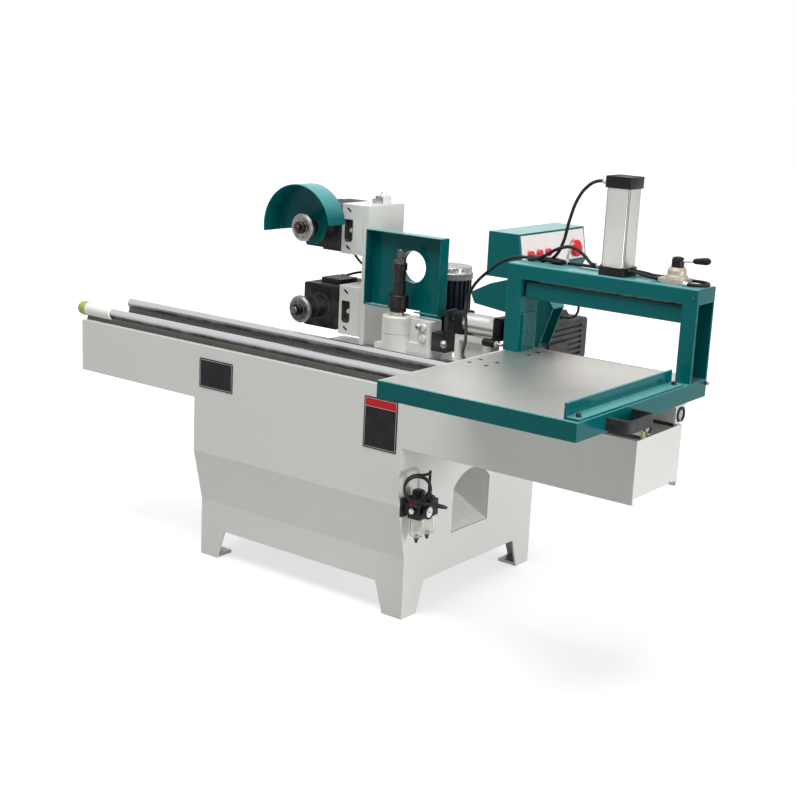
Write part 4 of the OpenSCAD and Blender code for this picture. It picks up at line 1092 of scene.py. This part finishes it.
def felt_wiper():
    """Felt pad that wipes the rail in front of its bearing, frayed at its lower edge."""
    pad = block("felt_wiper", (4.4, 15.4, 16), (1125.5, -375.4, 702.2))
    bpy.ops.mesh.subdivide(number_cuts=5)
    pick(pad, lambda m, n: n.x > FLAT and m.z < 700)
    draw_out(1.4, 0, -1.5)
    pick(pad, lambda m, n: n.z < -FLAT and int(m.y) % 2 == 1)
    draw_out(0.6, 0, -3.4)
    return close(pad, 0.5)


dress(felt_wiper(), FELT, "table")


def table_pin():
    """Round pin left standing out of the table's rear corner."""
    pin = rod("table_pin", 24, 4.5, 12, (1151.5, -94, 792), X)
    pick(pin, side(X))
    step(0.9, 1.2, 0, 0)
    return close(pin, 0.3)


dress(table_pin(), STEEL, "table")


def washer_bolt():
    """Hexagon bolt on a round washer."""
    washer = close(rod("washer", 36, 12, 2, (0, 0, 1)), 0.4)
    head = rod("bolt_head", 6, 8.6, 6, (0, 0, 5))
    pick(head, side(Z))
    step(1.4, 0, 0, 0.7)
    return joined(washer, close(head, 0.5))


copies(washer_bolt(), "clamp_bolt", [((155.6, 12, 776), AHEAD)], NICKEL, "carriage")
copies(washer_bolt(), "rod_bolt", [((236, 34, 730), AHEAD)], NICKEL, "carriage")


def cap_screw():
    """Screw with a round head and a socket in it."""
    screw = rod("cap_screw", 28, 4, 4, (0, 0, 2))
    pick(screw, side(Z))
    step(1.8, 0, 0, -2.2)
    return close(screw, 0.5)


copies(cap_screw(), "gantry_screw", [((1133, -182, 1017), AHEAD)], TEAL, "table")


def thread_lining():
    """Dark lining of a tapped hole in the table."""
    lining = rod("thread_lining", 24, 4.9, 9, (0, 0, -5), caps="NOTHING")
    bpy.ops.mesh.select_all(action="SELECT")
    bpy.ops.mesh.subdivide(number_cuts=1)
    thicken(lining, 0.8, -1)
    return close(lining)


copies(thread_lining(), "thread_lining", [((x, y, TABLE_TOP), UP) for x, y in TABLE_HOLES],
       OILED, "table")

FLOW_Y, FLOW_Z = 2, 768


def flow_control():
    """Flow control on the front of the shift cylinder: stem, and a round body stepped in at both ends."""
    stem = rod("flow_control", 24, 6, 17, (425, 17.3, 777), Y)
    pick(stem, side(Y, -1))
    step(1, 0, -6, -3)
    close(stem, 0.4)
    body = rod("flow_body", 32, 12, 34, (420, FLOW_Y, FLOW_Z), X)
    for way in (-1, 1):
        pick(body, side(X, way))
        step(1.6, 3 * way, 0, 0)
        step(1.4, 2 * way, 0, 0)
    return joined(stem, close(body, 0.6))


dress(flow_control(), PLASTIC, "machine")


def flow_nut():
    """Plated locking nut and adjusting screw of the flow control."""
    nut = rod("flow_nut", 6, 11, 9, (446.6, FLOW_Y, FLOW_Z), X)
    pick(nut, side(X))
    step(2.6, 3, 0, 0)
    step(2.4, 10, 0, 0)
    step(0.8, 1, 0, 0)
    return close(nut, 0.5)


dress(flow_nut(), STEEL, "machine")


# The clamp cylinder and the round guard, as the photograph shows them

CAP_W, CAP_ROUND, TUBE_W, TUBE_GROOVE = 75, 5, 68, 6


def square_bar(name, width, low, high, corner, segments):
    """An upright square bar of the clamp cylinder, with its corners taken off, open for shaping."""
    made = block(name, (width, width, high - low), (CLAMP_X, CLAMP_Y, (low + high) / 2))
    pick(made, square_to(Z), edges=True)
    bpy.ops.mesh.bevel(offset=corner * MM, segments=segments)
    return made


def clamp_barrel():
    """Clamp cylinder: square tube with a groove along each corner, two end caps and two ports."""
    tube = square_bar("clamp_barrel", TUBE_W, BARREL_LOW - 1, BARREL_HIGH + 1, TUBE_GROOVE, 1)
    pick(tube, lambda m, n: abs(n.x) > 0.5 and abs(n.y) > 0.5)
    bpy.ops.mesh.inset(thickness=1.4 * MM, depth=-4 * MM, use_even_offset=True, use_individual=True)
    pick(tube, square_to(Z))
    pierce(5.6)
    close(tube, 0.7)
    top = square_bar("barrel_top", CAP_W, BARREL_HIGH, BARREL_TOP, CAP_ROUND, 3)
    pick(top, side(Z))
    step(5, 0, 0, -1.2)
    close(top, 0.8)
    base = square_bar("barrel_base", CAP_W, BARREL_FOOT, BARREL_LOW, CAP_ROUND, 3)
    pick(base, square_to(Z))
    pierce(23)
    close(base, 0.8)
    ports = []
    for height in (1060, 1280):
        port = rod("barrel_port", 24, 7.5, 11, (851.5, CLAMP_Y, height), X)
        pick(port, side(X, -1))
        step(1.5, -5.5, 0, 0)
        ports.append(close(port, 0.4))
    return joined(tube, top, base, *ports)


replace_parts(dress(clamp_barrel(), CLAMP, "table"), "clamp_cylinder")

GUARD_R, GUARD_DEEP, GUARD_WALL, GUARD_Y, GUARD_BORE_R = 137, 82, 3, 11, 26
GUARD_CUT_Z, GUARD_TILT = 1025, math.radians(9)
APRON_R, APRON_WALL, APRON_Y = 57, 2.6, 50.5


def round_guard():
    """Sheet guard over the upper cutter: half a drum with a back plate, and a round apron behind it."""
    drum = rod("round_guard", 96, GUARD_R, GUARD_DEEP, (HEAD_X, GUARD_Y, UPPER_Z), Y)
    pick(drum, side(Y, -1))
    step(GUARD_WALL, 0, GUARD_DEEP - GUARD_WALL, 0)
    inset(GUARD_R - GUARD_WALL - GUARD_BORE_R)
    pick(drum, side(Y))
    inset(GUARD_R - GUARD_BORE_R)
    bore = square_to(Y)
    pick(drum, lambda m, n: bore(m, n) and m.y > 40 and math.hypot(m.x - HEAD_X, m.z - UPPER_Z) < 1)
    bpy.ops.mesh.bridge_edge_loops()
    bpy.ops.mesh.select_all(action="SELECT")
    bpy.ops.mesh.bisect(plane_co=mm(HEAD_X, GUARD_Y, GUARD_CUT_Z), clear_inner=True, use_fill=True,
                        plane_no=(-math.sin(GUARD_TILT), 0, math.cos(GUARD_TILT)))
    close(drum, 0.6)
    apron = rod("guard_apron", 72, APRON_R, APRON_WALL, (HEAD_X, APRON_Y, UPPER_Z), Y)
    pick(apron, square_to(Y))
    pierce(APRON_R - GUARD_BORE_R)
    return joined(drum, close(apron, 0.5))


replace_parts(dress(round_guard(), TEAL, "upper_head"), "upper_guard")


# Floor, backdrop and light

FLOOR_PAINT = 0.55
FLOOR_NEAR = 0.68
WORLD_LIGHT = 0.26


def seen_straight(tree):
    """1 on rays from the camera, in reflections and through clear pieces; 0 on rays that only light."""
    path = tree.nodes.new("ShaderNodeLightPath")
    seen = path.outputs["Is Camera Ray"]
    for kind in ("Is Glossy Ray", "Is Transmission Ray"):
        either = tree.nodes.new("ShaderNodeMath")
        either.operation = "MAXIMUM"
        tree.links.new(seen, either.inputs[0])
        tree.links.new(path.outputs[kind], either.inputs[1])
        seen = either.outputs[0]
    return seen


def floor_card(name):
    """Pale floor paint: white to the camera and in reflections, brighter far off, and it keeps the shadow."""
    f = Finish(name, 0.9, gloss=0.1)
    f.shader.inputs["Base Color"].default_value = (FLOOR_PAINT, FLOOR_PAINT, FLOOR_PAINT, 1)
    f.shader.inputs["Emission Color"].default_value = (1, 1, 1, 1)
    length = f.node("ShaderNodeVectorMath", operation="LENGTH")
    f.join(f.place, length.inputs[0])
    reach = f.span(length.outputs["Value"], 1.0, 3.2, FLOOR_NEAR, 1.0)
    f.join(f.both(reach, seen_straight(f.tree)), f.shader.inputs["Emission Strength"])
    return f.material


def make_floor():
    bpy.ops.object.select_all(action="DESELECT")
    bpy.ops.mesh.primitive_plane_add(size=40, location=(0, 0, -0.001))
    floor = bpy.context.object
    floor.name = "floor"
    floor.data.materials.append(floor_card("floor_paint"))


def make_world():
    """Soft white surroundings: white to the camera and in reflections, dimmer as light."""
    world = bpy.data.worlds.new("studio")
    bpy.context.scene.world = world
    world.use_nodes = True
    tree = world.node_tree
    tree.nodes.clear()
    out = tree.nodes.new("ShaderNodeOutputWorld")
    back = tree.nodes.new("ShaderNodeBackground")
    back.inputs["Color"].default_value = (1, 1, 1, 1)
    strength = tree.nodes.new("ShaderNodeMapRange")
    strength.inputs["To Min"].default_value = WORLD_LIGHT
    strength.inputs["To Max"].default_value = 1.0
    tree.links.new(seen_straight(tree), strength.inputs["Value"])
    tree.links.new(strength.outputs["Result"], back.inputs["Strength"])
    tree.links.new(back.outputs["Background"], out.inputs["Surface"])


def soft_box(name, at, aim, size, power):
    """A square lamp at one point, aimed at another."""
    data = bpy.data.lights.new(name, "AREA")
    data.shape = "SQUARE"
    data.size = size
    data.energy = power
    lamp = bpy.data.objects.new(name, data)
    bpy.context.scene.collection.objects.link(lamp)
    lamp.location = at
    lamp.rotation_euler = (Vector(aim) - Vector(at)).to_track_quat("-Z", "Y").to_euler()


make_floor()
make_world()
soft_box("side_lamp", (12.0, -0.8, 1.6), (0.4, -0.1, 0.5), 3.4, 760)
soft_box("top_lamp", (0.3, -1.2, 4.2), (0.1, -0.1, 0.5), 3.2, 185)
bpy.context.scene.view_settings.view_transform = "Standard"
